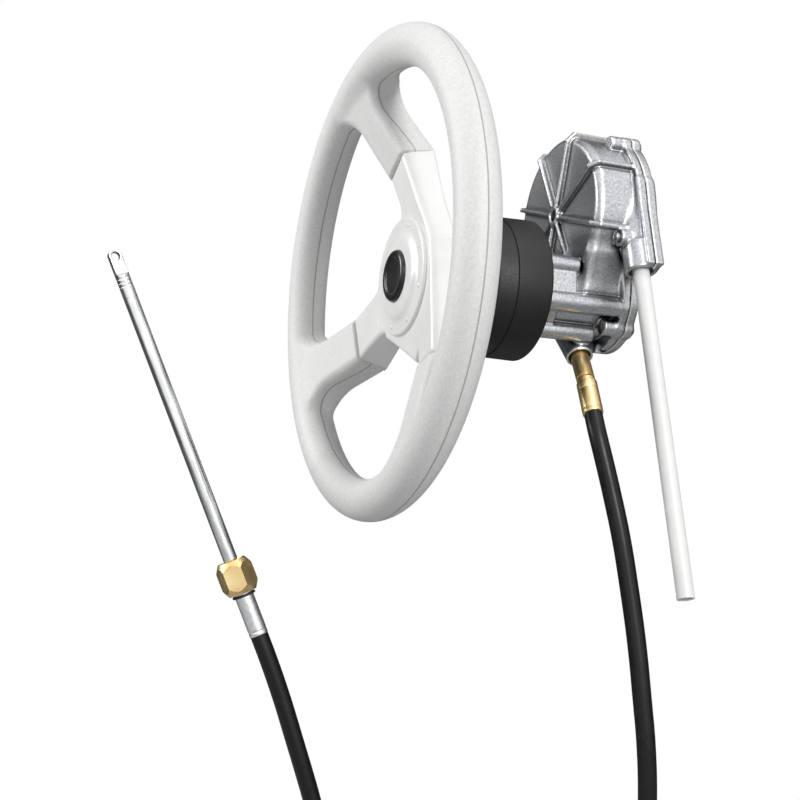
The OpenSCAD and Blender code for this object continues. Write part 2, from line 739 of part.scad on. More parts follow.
module helm_housing() {
    color("silver")
        difference() {
            union() {
                barrel();
                at_drum() {
                    drum_body();
                    drum_ribs();
                    rod(axle_boss_d / 2, drum_front - rib_h - 1, drum_front + 1);
                }
                plate(drum_front, part_y)
                    polygon([[-36, -5], [36, -5], [46, drum_z - 40], [-46, drum_z - 40]]);
                case_slab(part_y - flange_t, part_y, 0);
                for (p = cover_screw_at)
                    translate([p[0], 0, p[1]])
                        rod(screw_lug_r, part_y - screw_l - 4, part_y);
                bar_on(outlet_t, outlet_d, outlet_boss_d / 2 - 1.5, 0, outlet_l - tube_seat + 2);
                bar_on(outlet_t, outlet_d, outlet_boss_d / 2, outlet_l - tube_seat, outlet_l);
                bar_on(inlet_t, inlet_d, inlet_boss_d / 2 - 1.5, 30, inlet_l - 12);
                bar_on(inlet_t, inlet_d, inlet_boss_d / 2, inlet_l - 24, inlet_l);
                tube_screw_boss();
            }
            case_room();
            core_way();
            rod(shaft_d / 2 + bush_wall + seat_gap, bush_seat - 1, drum_front);
            rod(shaft_d / 2 + bush_wall + bush_flange_t + seat_gap, -1, bush_seat);
            rod(shaft_d / 2 + 1, drum_front - 1, drum_front + wall_t + 1);
            rod(journal_d / 2 + 2.5, gear_y1, part_y + 1);
            at_drum()
                rod(axle_d / 2 + seat_gap, axle_y0, drum_front + wall_t + 1);
            for (p = dash_posts)
                rotate([0, -p[0], 0])
                    translate([bolt_r, 0, 0])
                        rod(bolt_hole_d / 2, -1, bolt_depth);
            for (a = bezel_screw_a)
                rotate([0, -a, 0])
                    translate([bezel_screw_r, 0, 0])
                        rod(bezel_screw_d / 2 + seat_gap, -1, 12);
            for (p = cover_screw_at)
                translate([p[0], 0, p[1]])
                    rod(screw_d / 2 + seat_gap, part_y - screw_l, part_y + 1);
            tube_screw_shape(seat_gap, 0.5);
            ferrule_screw_shape(seat_gap, 0.4, 4);
            translate([-wheel_d, part_y, -wheel_d])
                cube([2 * wheel_d, 100, 2 * wheel_d]);
        }
}

// Screw that holds the spent tube, in its boss beside the outlet, grown by e and with a hole deeper by more
tube_screw_s = outlet_l - tube_seat - 4;
tube_boss_y = -outlet_boss_d / 2 - 5;
module at_tube_screw() {
    translate(outlet_t + outlet_d * tube_screw_s)
        children();
}
module tube_screw_boss() {
    at_tube_screw()
        rod(6.5, tube_boss_y, 3);
}
module tube_screw_shape(e, more) {
    at_tube_screw() {
        rod(2 + e, tube_boss_y - 1, -core_bore_r - 1.5 + more);
        rod(3.6 + e, tube_boss_y - 3.5, tube_boss_y);
    }
}
module tube_screw() {
    color("gray")
        tube_screw_shape(0, 0);
}

// Screw that locks the inlet ferrule, in a spot face on the rear side of its boss
ferrule_screw_s = inlet_l - ferrule_seat / 2;
module ferrule_screw_shape(e, more, up) {
    seat_y = inlet_boss_d / 2 - 2;
    translate(inlet_t + inlet_d * ferrule_screw_s) {
        rod(1.8 + e, ferrule_d / 2 + 0.8 - more, seat_y + 1);
        rod(3.4 + e, seat_y, seat_y + 2.4 + up);
    }
}
module ferrule_screw() {
    color("gray")
        ferrule_screw_shape(0, 0, 0);
}

module cover_gasket() {
    color("darkslategray")
        difference() {
            union() {
                case_slab(part_y, cover_y0, -0.4);
            }
            at_drum()
                rod(cavity_r, part_y - 1, cover_y0 + 1);
            rod(journal_d / 2 + 2.5, part_y - 1, cover_y0 + 1);
            plate(part_y - 1, cover_y0 + 1)
                outlet_slot();
            for (p = cover_screw_at)
                translate([p[0], 0, p[1]])
                    rod(screw_d / 2 + seat_gap, part_y - 1, cover_y0 + 1);
        }
}

// Slot in the gasket for the spent tube
module outlet_slot() {
    n = [cos(outlet_lean), sin(outlet_lean)];
    d = [sin(outlet_lean), -cos(outlet_lean)];
    c = [0, drum_z];
    r0 = core_pitch_r - tube_d / 2 - 0.5;
    r1 = core_pitch_r + tube_d / 2 + 0.5;
    polygon([c + n * r0, c + n * r1, c + n * r1 + d * (outlet_l + 5), c + n * r0 + d * (outlet_l + 5)]);
}

module rear_cover() {
    edge = 2.5;
    color("silver")
        difference() {
            union() {
                case_slab(cover_y0, cover_y1 - edge, 0);
                case_slab(cover_y0, cover_y1, -edge);
                rod(journal_d / 2 + 8, cover_y0, cover_y1 + 7);
                at_drum()
                    rod(axle_boss_d / 2, cover_y0, cover_y1 + 2);
                for (k = [0:7])
                    at_drum()
                        fin(22.5 + 45 * k, rib_w)
                            translate([axle_d / 2, cover_y1 - 1])
                                square([drum_r - axle_d / 2 - 8, 2.5]);
                intersection() {
                    bar_on(outlet_t, outlet_d, outlet_boss_d / 2, outlet_l - tube_seat, outlet_l);
                    translate([0, cover_y0, -wheel_d])
                        cube([wheel_d, 60, 2 * wheel_d]);
                }
            }
            at_drum()
                rod(cavity_r, cover_y0 - 1, cover_inner);
            core_way();
            rod(journal_d / 2 + bush_wall + seat_gap, cover_y0 - 1, cover_y1 + 4);
            at_drum()
                rod(axle_d / 2 + seat_gap, cover_y0 - 1, axle_y1);
            for (p = cover_screw_at)
                translate([p[0], 0, p[1]])
                    rod(screw_d / 2 + seat_gap, cover_y0 - 1, cover_y1 + 1);
        }
}

module cover_screws() {
    color("gainsboro")
        for (p = cover_screw_at)
            translate([p[0], 0, p[1]]) {
                rod(screw_d / 2, part_y - screw_l + 1, cover_y1 + 0.5);
                rod(screw_d / 2 + 1.8, cover_y1, cover_y1 + 3);
            }
}

module rear_bush() {
    color("peru")
        difference() {
            rod(journal_d / 2 + bush_wall, cover_y0, cover_y1 + 3.6);
            rod(journal_d / 2 + run_gap, cover_y0 - 1, cover_y1 + 5);
        }
}

module drum_gear() {
    hub_r = axle_d / 2 + 8;
    rim_in = groove_r - 7;
    web_y0 = gear_y0 + 2;
    web_y1 = gear_y0 + 9;
    color("darkgray")
        at_drum()
            difference() {
                union() {
                    plate(gear_y0, gear_y1)
                        gear_outline(drum_teeth, 270 + 180 / drum_teeth);
                    rod(groove_r, gear_y1, drum_y1);
                }
                difference() {
                    union() {
                        rod(rim_in, gear_y0 - 1, web_y0);
                        rod(rim_in, web_y1, drum_y1 + 1);
                    }
                    rod(hub_r, gear_y0 - 2, drum_y1 + 2);
                }
                rod(axle_d / 2 + 3 + seat_gap, gear_y0 - 1, drum_y1 + 1);
                for (k = [0:5])
                    rotate([0, 60 * k, 0])
                        translate([(hub_r + rim_in) / 2, 0, 0])
                            rod(6, web_y0 - 1, web_y1 + 1);
            }
}

module drum_bush() {
    color("peru")
        at_drum()
            difference() {
                rod(axle_d / 2 + 3, gear_y0, drum_y1);
                rod(axle_d / 2 + run_gap, gear_y0 - 1, drum_y1 + 1);
            }
}

module drum_axle() {
    color("lightsteelblue")
        at_drum()
            rod(axle_d / 2, axle_y0, axle_y1);
}

module drum_washer() {
    color("tan")
        at_drum()
            difference() {
                rod(axle_d / 2 + 7, cover_inner - washer_t, cover_inner);
                rod(axle_d / 2 + seat_gap, cover_inner - washer_t - 1, cover_inner + 1);
            }
}

module core_wire() {
    color("silver")
        tube_along(core_route, core_r, 8, -inlet_d, outlet_d);
}

module inlet_ferrule() {
    color("goldenrod")
        difference() {
            union() {
                bar_on(inlet_t, inlet_d, ferrule_d / 2, inlet_l - ferrule_seat + 0.3, inlet_l + ferrule_l);
                translate(ferrule_end)
                    sphere(d = ferrule_d + 1);
                bar_on(ferrule_end, crimp_d, ferrule_d / 2 - 1.6, 0, ferrule_d);
            }
            bar_on(inlet_t, inlet_d, core_bore_r - 0.5, inlet_l - ferrule_seat - 1, inlet_l + ferrule_l - 4);
        }
}

module crimp_sleeve() {
    seat = ferrule_d / 2 + 0.8;
    color("darkgoldenrod")
        difference() {
            bar_on(ferrule_end, crimp_d, cable_d / 2 + 0.9, seat, crimp_l);
            bar_on(ferrule_end, crimp_d, ferrule_d / 2 - 1.6 + seat_gap, 0, ferrule_d + 0.2);
        }
}

module spent_tube() {
    color([0.95, 0.95, 0.93])
        difference() {
            bar_on(outlet_t, outlet_d, tube_d / 2, outlet_l - tube_seat + 0.3, outlet_l + tube_l);
            bar_on(outlet_t, outlet_d, tube_d / 2 - tube_wall, outlet_l - tube_seat - 1, outlet_l + tube_l + 1);
        }
}

module cable_helm_run() {
    color([0.1, 0.1, 0.11])
        tube_along(helm_route, cable_d / 2, 10, crimp_d, [-1, 0, 0]);
}

module cable_coil() {
    color([0.1, 0.1, 0.11])
        tube_along(coil_path, cable_d / 2, 6, [-1, 0, 0], [0, -1, 0]);
}

// Flat ties round the coil's turns, at two places away from its ends and its climb
module coil_ties() {
    color([0.15, 0.15, 0.15])
        for (a = [20, 300])
            coil_tie(a);
}

// One tie: a band that just clears the turns at its angle
module coil_tie(a) {
    gap = 0.9;
    thick = 1.2;
    first = (a - coil_first + 360) / 360 % 1;
    radii = [for (t = [first:1:coil_turns]) coil_radius(t)];
    r_in = min(radii) - cable_d / 2 - gap - 1;
    r_out = max(radii) + cable_d / 2 + gap + 1;
    low = -cable_d / 2 - gap;
    high = coil_climb + cable_d / 2 + gap;
    translate(coil_at)
        rotate([90, 0, a])
            translate([0, 0, -tie_w / 2])
                difference() {
                    translate([r_in - thick, low - thick, 0])
                        cube([r_out - r_in + 2 * thick, high - low + 2 * thick, tie_w]);
                    translate([r_in, low, -1])
                        cube([r_out - r_in, high - low, tie_w + 2]);
                }
}

module cable_ram_run() {
    color([0.1, 0.1, 0.11])
        tube_along(ram_route, cable_d / 2, 10, -ram_d3, [0, 1, 0]);
}

// Silver end sleeve: a tube on the cable's end, with the collar that the nut turns on
module end_sleeve() {
    low = -nut_l / 2;
    color("lightgray")
        at_ram()
            difference() {
                union() {
                    translate([0, 0, low - sleeve_l])
                        cylinder(d = sleeve_d, h = sleeve_l + nut_floor + collar_h);
                    translate([0, 0, low + nut_floor])
                        cylinder(d = collar_d, h = collar_h);
                }
                translate([0, 0, low - sleeve_l + 12])
                    cylinder(d = guide_d + 2 * seat_gap, h = sleeve_l + nut_l);
            }
}

// Rubber ring between the sleeve's collar and the nut's floor
module seal_ring() {
    color([0.12, 0.12, 0.12])
        at_ram()
            translate([0, 0, -nut_l / 2 - 1.8])
                rotate_extrude()
                    translate([sleeve_d / 2 + 0.95, 0])
                        circle(d = 1.8);
}

module guide_tube() {
    color("lightsteelblue")
        at_ram()
            difference() {
                translate([0, 0, -nut_l / 2 - sleeve_l + 12])
                    cylinder(d = guide_d, h = guide_top + nut_l / 2 + sleeve_l - 12);
                translate([0, 0, -nut_l / 2 - sleeve_l + 11])
                    cylinder(d = guide_d - 1.8, h = ram_l + nut_l + sleeve_l);
            }
}

module coupling_nut() {
    low = -nut_l / 2;
    color("goldenrod")
        at_ram()
            difference() {
                intersection() {
                    translate([0, 0, low])
                        cylinder(d = nut_af / cos(30), h = nut_l, $fn = 6);
                    rotate_extrude()
                        polygon([[0, low], [nut_af / 2 - 0.5, low], [nut_af / cos(30) / 2 + 0.1, low + 3.5],
                            [nut_af / cos(30) / 2 + 0.1, -low - 3.5], [nut_af / 2 - 0.5, -low], [0, -low]]);
                }
                translate([0, 0, low - 1])
                    cylinder(r = sleeve_d / 2 + run_gap, h = nut_l);
                translate([0, 0, low + nut_floor - 0.3])
                    cylinder(r = collar_d / 2 + run_gap, h = nut_l);
            }
}

// Ram: a tube that slides on the guide tube, with a flat tip that is drilled for the link
module ram() {
    flat_z = ram_l - tip_l;
    color("lightsteelblue")
        at_ram()
            difference() {
                union() {
                    translate([0, 0, ram_foot])
                        cylinder(d = ram_d, h = flat_z - ram_foot + 6);
                    translate([-tip_t / 2, -ram_d / 2, flat_z])
                        cube([tip_t, ram_d, tip_l - ram_d / 2]);
                    translate([-tip_t / 2, 0, ram_l - ram_d / 2])
                        rotate([0, 90, 0])
                            cylinder(d = ram_d, h = tip_t);
                }
                translate([0, 0, ram_foot - 1])
                    cylinder(r = guide_d / 2 + run_gap, h = ram_bore_top - ram_foot + 1);
                translate([-ram_d, 0, ram_l - ram_d / 2])
                    rotate([0, 90, 0])
                        cylinder(d = link_hole_d, h = 2 * ram_d);
                for (s = [0, 180])
                    rotate([0, 0, s])
                        translate([tip_t / 2, -ram_d, flat_z])
                            cube([ram_d, 2 * ram_d, tip_l]);
            }
}

// End of the core wire that is fixed in the ram and slides in the guide tube
module ram_core() {
    color("gray")
        at_ram()
            translate([0, 0, -nut_l / 2])
                cylinder(d = guide_d - 1.8 - 2 * run_gap, h = ram_bore_top + nut_l / 2);
}

rim_grip();
wheel_armature();
wheel_hub();
hub_spider();
hub_ring();
centre_cap();
wheel_nut();
wheel_washer();
drive_key();
input_shaft();
pinion();
shaft_clip();
bezel();
bezel_plate();
bezel_screws();
front_bush();
helm_housing();
cover_gasket();
rear_cover();
cover_screws();
rear_bush();
drum_gear();
drum_bush();
drum_axle();
drum_washer();
core_wire();
inlet_ferrule();
crimp_sleeve();
ferrule_screw();
spent_tube();
tube_screw();
cable_helm_run();
cable_coil();
coil_ties();
cable_ram_run();
end_sleeve();
seal_ring();
guide_tube();
coupling_nut();
ram();
ram_core();
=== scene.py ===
import bmesh
import bpy
import math
import numpy as np
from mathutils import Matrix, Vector


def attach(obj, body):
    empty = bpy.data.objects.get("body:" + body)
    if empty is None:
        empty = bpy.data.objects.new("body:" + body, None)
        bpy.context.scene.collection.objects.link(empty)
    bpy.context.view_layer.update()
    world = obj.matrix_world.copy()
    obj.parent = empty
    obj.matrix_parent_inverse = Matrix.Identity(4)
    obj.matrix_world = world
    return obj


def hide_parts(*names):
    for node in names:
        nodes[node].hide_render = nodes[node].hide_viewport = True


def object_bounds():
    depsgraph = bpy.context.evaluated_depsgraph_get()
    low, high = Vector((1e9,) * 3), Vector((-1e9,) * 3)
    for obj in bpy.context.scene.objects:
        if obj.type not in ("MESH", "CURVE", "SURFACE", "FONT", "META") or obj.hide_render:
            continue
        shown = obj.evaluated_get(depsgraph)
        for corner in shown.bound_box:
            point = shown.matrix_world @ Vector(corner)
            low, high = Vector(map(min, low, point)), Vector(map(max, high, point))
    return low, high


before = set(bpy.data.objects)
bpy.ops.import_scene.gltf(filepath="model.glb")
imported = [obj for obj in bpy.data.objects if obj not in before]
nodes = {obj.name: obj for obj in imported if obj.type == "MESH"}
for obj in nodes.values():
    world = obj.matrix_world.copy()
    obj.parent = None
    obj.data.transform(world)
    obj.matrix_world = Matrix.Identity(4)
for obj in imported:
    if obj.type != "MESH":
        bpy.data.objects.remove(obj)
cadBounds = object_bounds()
print("frame loaded, nodes:", len(nodes))

mm = 0.001  # shapes are worked out in millimetres


# camera, at the photograph's place
cameraSet = {"place": (0.88013, -0.46256, -0.28531), "azimuth": 67.406, "elevation": -11.60, "lens": 62.67}
turnAngle, riseAngle = math.radians(cameraSet["azimuth"]), math.radians(cameraSet["elevation"])
backWay = Vector((math.sin(turnAngle) * math.cos(riseAngle), -math.cos(turnAngle) * math.cos(riseAngle),
                  math.sin(riseAngle)))
cameraData = bpy.data.cameras.new("camera")
cameraData.lens = cameraSet["lens"]
cameraData.sensor_width = 36
cameraData.clip_start = 0.01
camera = bpy.data.objects.new("camera", cameraData)
camera.location = cameraSet["place"]
camera.rotation_mode = "QUATERNION"
camera.rotation_quaternion = (-backWay).to_track_quat("-Z", "Y")
bpy.context.scene.collection.objects.link(camera)
bpy.context.scene.camera = camera
bpy.context.scene.view_settings.view_transform = "Standard"
print("camera set")


# materials: colours in sRGB hex, pattern sizes in mm
def linear(code):  # sRGB hex to linear red, green, blue and full alpha
    parts = [int(code[i:i + 2], 16) / 255 for i in (1, 3, 5)]
    return [p / 12.92 if p <= 0.04045 else ((p + 0.055) / 1.055) ** 2.4 for p in parts] + [1.0]


# adds a node with its settings; an input is a value or the socket that feeds it
def addNode(tree, kind, settings=None, inputs=None):
    made = tree.nodes.new(kind)
    for key, value in (settings or {}).items():
        setattr(made, key, value)
    for key, value in (inputs or {}).items():
        if isinstance(value, bpy.types.NodeSocket):
            tree.links.new(value, made.inputs[key])
        else:
            made.inputs[key].default_value = value
    return made


def perMm(size):
    return 1000 / size  # pattern scale for a feature of that many mm


def startMaterial(name):
    material = bpy.data.materials.new(name)
    material.use_nodes = True
    tree = material.node_tree
    tree.nodes.clear()
    shader = addNode(tree, "ShaderNodeBsdfPrincipled")
    addNode(tree, "ShaderNodeOutputMaterial", None, {"Surface": shader.outputs["BSDF"]})
    place = addNode(tree, "ShaderNodeTexCoord").outputs["Object"]
    return material, tree, shader, place


# a finish of two close colours, mottled, with roughness and bump from their own grains; a grain finer than a pixel is
# drawn coarse enough to show
def surfaceFinish(name, look):
    material, tree, shader, place = startMaterial(name)
    if "stretch" in look:  # drawn-out grain along one axis of the piece
        place = addNode(tree, "ShaderNodeMapping", None, {"Vector": place, "Scale": look["stretch"],
                                                          "Rotation": look.get("turn", (0, 0, 0))}).outputs[0]
    mottle = addNode(tree, "ShaderNodeTexNoise", None, {"Vector": place, "Scale": perMm(look["mottleMm"]),
                                                        "Detail": 4.0, "Roughness": 0.6}).outputs["Fac"]
    spread = addNode(tree, "ShaderNodeMapRange", None, {"Value": mottle, "From Min": 0.3, "From Max": 0.7}).outputs[0]
    colour = addNode(tree, "ShaderNodeMix", {"data_type": "RGBA"},
                     {0: spread, 6: linear(look["dark"]), 7: linear(look["light"])}).outputs[2]
    if "residue_and_shade" in look:  # residue and painted shade in the hollows and bright worn edges, from the piece's own attributes
        residue_and_shade = addNode(tree, "ShaderNodeAttribute", {"attribute_name": "residue_and_shade"}).outputs["Fac"]
        edge = addNode(tree, "ShaderNodeAttribute", {"attribute_name": "edge"}).outputs["Fac"]
        # the hollows take the dark colour: residue together with painted shade
        colour = addNode(tree, "ShaderNodeMix", {"data_type": "RGBA"},
                         {0: residue_and_shade, 6: colour, 7: linear(look["residue_and_shade"])}).outputs[2]
        colour = addNode(tree, "ShaderNodeMix", {"data_type": "RGBA"},
                         {0: edge, 6: colour, 7: linear(look["worn"])}).outputs[2]
    tree.links.new(colour, shader.inputs["Base Color"])
    shader.inputs["Metallic"].default_value = look.get("metallic", 0.0)
    for key, value in look.get("sockets", {}).items():
        shader.inputs[key].default_value = value
    rough = addNode(tree, "ShaderNodeMapRange", None,
                    {"Value": mottle, "From Min": 0.25, "From Max": 0.75,
                     "To Min": look["rough"][0], "To Max": look["rough"][1]}).outputs[0]
    tree.links.new(rough, shader.inputs["Roughness"])
    grain = addNode(tree, "ShaderNodeTexNoise", None, {"Vector": place, "Scale": perMm(look["grainMm"]),
                                                       "Detail": 3.0}).outputs["Fac"]
    bump = addNode(tree, "ShaderNodeBump", None, {"Height": grain, "Strength": look["bump"],
                                                  "Distance": look["depthMm"] * mm}).outputs[0]
    if "waveMm" in look:  # slow unevenness of a cast or moulded wall
        wave = addNode(tree, "ShaderNodeTexNoise", None, {"Vector": place, "Scale": perMm(look["waveMm"]),
                                                          "Detail": 1.0}).outputs["Fac"]
        bump = addNode(tree, "ShaderNodeBump", None, {"Height": wave, "Strength": look["waveBump"],
                                                      "Distance": 0.8 * mm, "Normal": bump}).outputs[0]
    tree.links.new(bump, shader.inputs["Normal"])
    return material


# soft self-skinning polyurethane foam: matt, fine leather-like grain, a dark moulding seam round the middle of the rim
def polyurethaneGrip(look):
    material = surfaceFinish("polyurethane_grip", look)
    tree = material.node_tree
    shader = next(n for n in tree.nodes if n.type == "BSDF_PRINCIPLED")
    place = addNode(tree, "ShaderNodeTexCoord").outputs["Object"]
    axes = addNode(tree, "ShaderNodeSeparateXYZ", None, {0: place})
    flat = addNode(tree, "ShaderNodeCombineXYZ", None, {"X": axes.outputs["X"], "Z": axes.outputs["Z"]}).outputs[0]
    radius = addNode(tree, "ShaderNodeVectorMath", {"operation": "LENGTH"}, {0: flat}).outputs["Value"]
    middle = addNode(tree, "ShaderNodeMapRange", {"interpolation_type": "SMOOTHSTEP"},
                     {"Value": radius, "From Min": look["seamRun"][0] * mm, "From Max": look["seamRun"][1] * mm,
                      "To Min": look["seamIn"] * mm, "To Max": look["seamOut"] * mm}).outputs[0]
    away = addNode(tree, "ShaderNodeMath", {"operation": "SUBTRACT"}, {0: axes.outputs["Y"], 1: middle}).outputs[0]
    away = addNode(tree, "ShaderNodeMath", {"operation": "ABSOLUTE"}, {0: away}).outputs[0]
    seam = addNode(tree, "ShaderNodeMapRange", None,
                   {"Value": away, "From Min": look["seamHalf"][0] * mm, "From Max": look["seamHalf"][1] * mm,
                    "To Min": 1.0, "To Max": 0.0}).outputs[0]
    before = shader.inputs["Base Color"].links[0].from_socket
    colour = addNode(tree, "ShaderNodeMix", {"data_type": "RGBA"},
                     {0: seam, 6: before, 7: linear(look["seamColour"])}).outputs[2]
    tree.links.new(colour, shader.inputs["Base Color"])
    bumpBefore = shader.inputs["Normal"].links[0].from_socket
    bump = addNode(tree, "ShaderNodeBump", {"invert": True}, {"Height": seam, "Strength": 0.8, "Distance": 0.5 * mm,
                                                              "Normal": bumpBefore}).outputs[0]
    tree.links.new(bump, shader.inputs["Normal"])
    return material


gripFinish = polyurethaneGrip({
    "dark": "#c9c9c7", "light": "#d8d8d6", "mottleMm": 2.0, "rough": (0.5, 0.62), "grainMm": 1.3, "bump": 0.35,
    "depthMm": 0.25, "seamIn": -86.0, "seamOut": -112.0, "seamRun": (78, 150), "seamHalf": (0.2, 0.6),
    "seamColour": "#a2a2a0"})
# injection-moulded ABS, high gloss: even white with a slight sink-mark waviness
glossWhite = surfaceFinish("abs_gloss_white", {
    "dark": "#dfdfdd", "light": "#e5e5e3", "mottleMm": 30, "rough": (0.2, 0.28), "grainMm": 4, "bump": 0.06,
    "depthMm": 0.2, "waveMm": 25, "waveBump": 0.05})
# polished black ABS of the cap: deep black with a sharp highlight
glossBlack = surfaceFinish("abs_gloss_black", {
    "dark": "#101011", "light": "#18181a", "mottleMm": 12, "rough": (0.2, 0.3), "grainMm": 2, "bump": 0.05,
    "depthMm": 0.1})
# spark-textured black ABS: fine pitted grain that greys in the light
bezelBlack = surfaceFinish("abs_textured_black", {
    "dark": "#060607", "light": "#0f0f10", "mottleMm": 1.6, "rough": (0.42, 0.6), "grainMm": 0.9, "bump": 0.45,
    "depthMm": 0.25, "sockets": {"Specular IOR Level": 0.36}})
# die-cast aluminium as cast: mottled skin, slow waviness, grey residue and painted shade in the hollows, rubbed edges
castAluminium = surfaceFinish("aluminium_die_cast", {
    "dark": "#94969a", "light": "#c6c8ca", "mottleMm": 1.5, "metallic": 1.0, "rough": (0.27, 0.39), "grainMm": 0.7,
    # the dark hollow colour is residue and painted shade
    "bump": 0.3, "depthMm": 0.2, "waveMm": 16, "waveBump": 0.12, "residue_and_shade": "#2c2d2e", "worn": "#f2f2f2"})
# turned steel, plain: fine scratches
plainSteel = surfaceFinish("steel_turned", {
    "dark": "#8f9193", "light": "#b4b6b8", "mottleMm": 4, "metallic": 1.0, "rough": (0.28, 0.42), "grainMm": 0.5,
    "bump": 0.12, "depthMm": 0.1})
# black-painted steel weldment: slight orange peel
paintedSteel = surfaceFinish("steel_painted_black", {
    "dark": "#1c1c1d", "light": "#2a2a2b", "mottleMm": 8, "rough": (0.35, 0.5), "grainMm": 1.6, "bump": 0.15,
    "depthMm": 0.2})
# sintered bronze of the bushes: dull and speckled
bushBronze = surfaceFinish("bronze_sintered", {
    "dark": "#8a6540", "light": "#a67c52", "mottleMm": 1.5, "metallic": 1.0, "rough": (0.45, 0.6), "grainMm": 0.5,
    "bump": 0.3, "depthMm": 0.15})
# turned brass, lacquer-free: warm, slightly darker in patches where it has been handled
turnedBrass = surfaceFinish("brass_turned", {
    "dark": "#dcba7c", "light": "#ecd6a4", "mottleMm": 14, "metallic": 1.0, "rough": (0.3, 0.42), "grainMm": 0.6,
    "bump": 0.08, "depthMm": 0.12})
# drawn and polished stainless tube: long fine draw lines
ramStainless = surfaceFinish("stainless_polished", {
    "dark": "#c4c6c8", "light": "#e2e3e4", "mottleMm": 3, "metallic": 1.0, "rough": (0.14, 0.26), "grainMm": 0.7,
    "bump": 0.1, "depthMm": 0.08, "stretch": (1.0, 0.45, 0.06), "turn": (-0.41, 0.0, 0.0)})
# zinc-plated steel sleeve: satin silver
sleeveZinc = surfaceFinish("steel_zinc_plated", {
    "dark": "#d2d4d6", "light": "#ebecec", "mottleMm": 3, "metallic": 1.0, "rough": (0.26, 0.4), "grainMm": 0.7,
    "bump": 0.12, "depthMm": 0.1})
# extruded black PVC jacket: satin, faint scuffs
jacketPvc = surfaceFinish("pvc_jacket_black", {
    "dark": "#08080a", "light": "#101012", "mottleMm": 6, "rough": (0.3, 0.44), "grainMm": 1.2, "bump": 0.12,
    "depthMm": 0.15, "sockets": {"Specular IOR Level": 0.3}})
# natural low-density polyethylene tube: milky white, waxy
tubePolyethylene = surfaceFinish("polyethylene_natural", {
    "dark": "#dededc", "light": "#e4e4e2", "mottleMm": 10, "rough": (0.35, 0.45), "grainMm": 2, "bump": 0.06,
    "depthMm": 0.15, "sockets": {"Subsurface Weight": 0.2, "Subsurface Radius": (0.004, 0.004, 0.004)}})
# compressed fibre gasket: matt and flecked
gasketFibre = surfaceFinish("gasket_fibre", {
    "dark": "#2c3131", "light": "#3c4242", "mottleMm": 1, "rough": (0.7, 0.85), "grainMm": 0.6, "bump": 0.3,
    "depthMm": 0.15})
# moulded nitrile rubber ring: matt black
sealRubber = surfaceFinish("rubber_nitrile", {
    "dark": "#131313", "light": "#1d1d1d", "mottleMm": 2, "rough": (0.5, 0.65), "grainMm": 0.6, "bump": 0.15,
    "depthMm": 0.1})
# moulded nylon ties: satin black
tieNylon = surfaceFinish("nylon_black", {
    "dark": "#181819", "light": "#222223", "mottleMm": 3, "rough": (0.4, 0.5), "grainMm": 0.8, "bump": 0.15,
    "depthMm": 0.1})
print("materials made:", len(bpy.data.materials))


# mesh helpers; the wheel's shaft runs along y through the origin
shaftAt, upY = (0, 0, 0), (0, 1, 0)


def unit(v):  # the vector divided by its length
    v = np.array(v, float)
    return v / np.linalg.norm(v)


# closed quads in mm become a piece: turned outward by the sign of their volume, smooth, and split at sharp edges
def meshPiece(name, points, faces, material, ride, stands=(), marks=None, sharp=None, merge=False):
    mesh = bpy.data.meshes.new(name)
    faces = np.asarray(faces, np.int32)
    points = np.asarray(points, float) * mm
    a, b, c = points[faces[:, 0]], points[faces[:, 1]], points[faces[:, 2]]
    d = points[faces[:, 3]]
    volume = np.einsum("ij,ij->i", a, np.cross(b, c)).sum() + np.einsum("ij,ij->i", a, np.cross(c, d)).sum()
    if volume < 0:
        faces = faces[:, ::-1].copy()
    mesh.vertices.add(len(points))
    mesh.vertices.foreach_set("co", points.astype(np.float32).ravel())
    mesh.loops.add(faces.size)
    mesh.loops.foreach_set("vertex_index", faces.ravel())
    mesh.polygons.add(len(faces))
    mesh.polygons.foreach_set("loop_start", np.arange(0, faces.size, 4, dtype=np.int32))
    mesh.update(calc_edges=True)
    for key, value in (marks or {}).items():
        mesh.attributes.new(key, "FLOAT", "POINT").data.foreach_set("value", np.asarray(value, np.float32))
    if merge:  # closes the poles of a turned piece
        work = bmesh.new()
        work.from_mesh(mesh)
        bmesh.ops.remove_doubles(work, verts=work.verts, dist=1e-6)
        work.to_mesh(mesh)
        work.free()
    mesh.validate()
    mesh.polygons.foreach_set("use_smooth", np.ones(len(mesh.polygons), bool))
    if sharp:
        mesh.set_sharp_from_angle(angle=math.radians(sharp))
    mesh.materials.append(material)
    piece = bpy.data.objects.new(name, mesh)
    bpy.context.scene.collection.objects.link(piece)
    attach(piece, ride)
    if stands:
        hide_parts(*stands)
    print("piece", name, "faces", len(mesh.polygons))
    return piece


# quads of a grid of rows and columns, closed on itself where asked
def gridFaces(rows, columns, closeRows=False, closeColumns=True):
    i = np.arange(rows if closeRows else rows - 1)
    j = np.arange(columns if closeColumns else columns - 1)
    i, j = [x.ravel() for x in np.meshgrid(i, j, indexing="ij")]
    nextI, nextJ = (i + 1) % rows, (j + 1) % columns
    return np.stack([i * columns + j, i * columns + nextJ, nextI * columns + nextJ, nextI * columns + j], 1)


# rounds each corner of a line of points with a short curve from one side to the other
def softened(line, radius, closed=True, bends=5):
    line = np.array(line, float)
    radius = np.broadcast_to(np.array(radius, float), len(line))
    out = []
    for i, point in enumerate(line):
        if not closed and i in (0, len(line) - 1):
            out.append(point)
            continue
        before, after = line[i - 1] - point, line[(i + 1) % len(line)] - point
        reach = min(radius[i], 0.48 * np.linalg.norm(before), 0.48 * np.linalg.norm(after))
        if reach < 1e-3:
            out.append(point)
            continue
        p, q = point + unit(before) * reach, point + unit(after) * reach
        for t in np.linspace(0, 1, bends):
            out.append((1 - t) ** 2 * p + 2 * t * (1 - t) * point + t * t * q)
    return np.array(out)


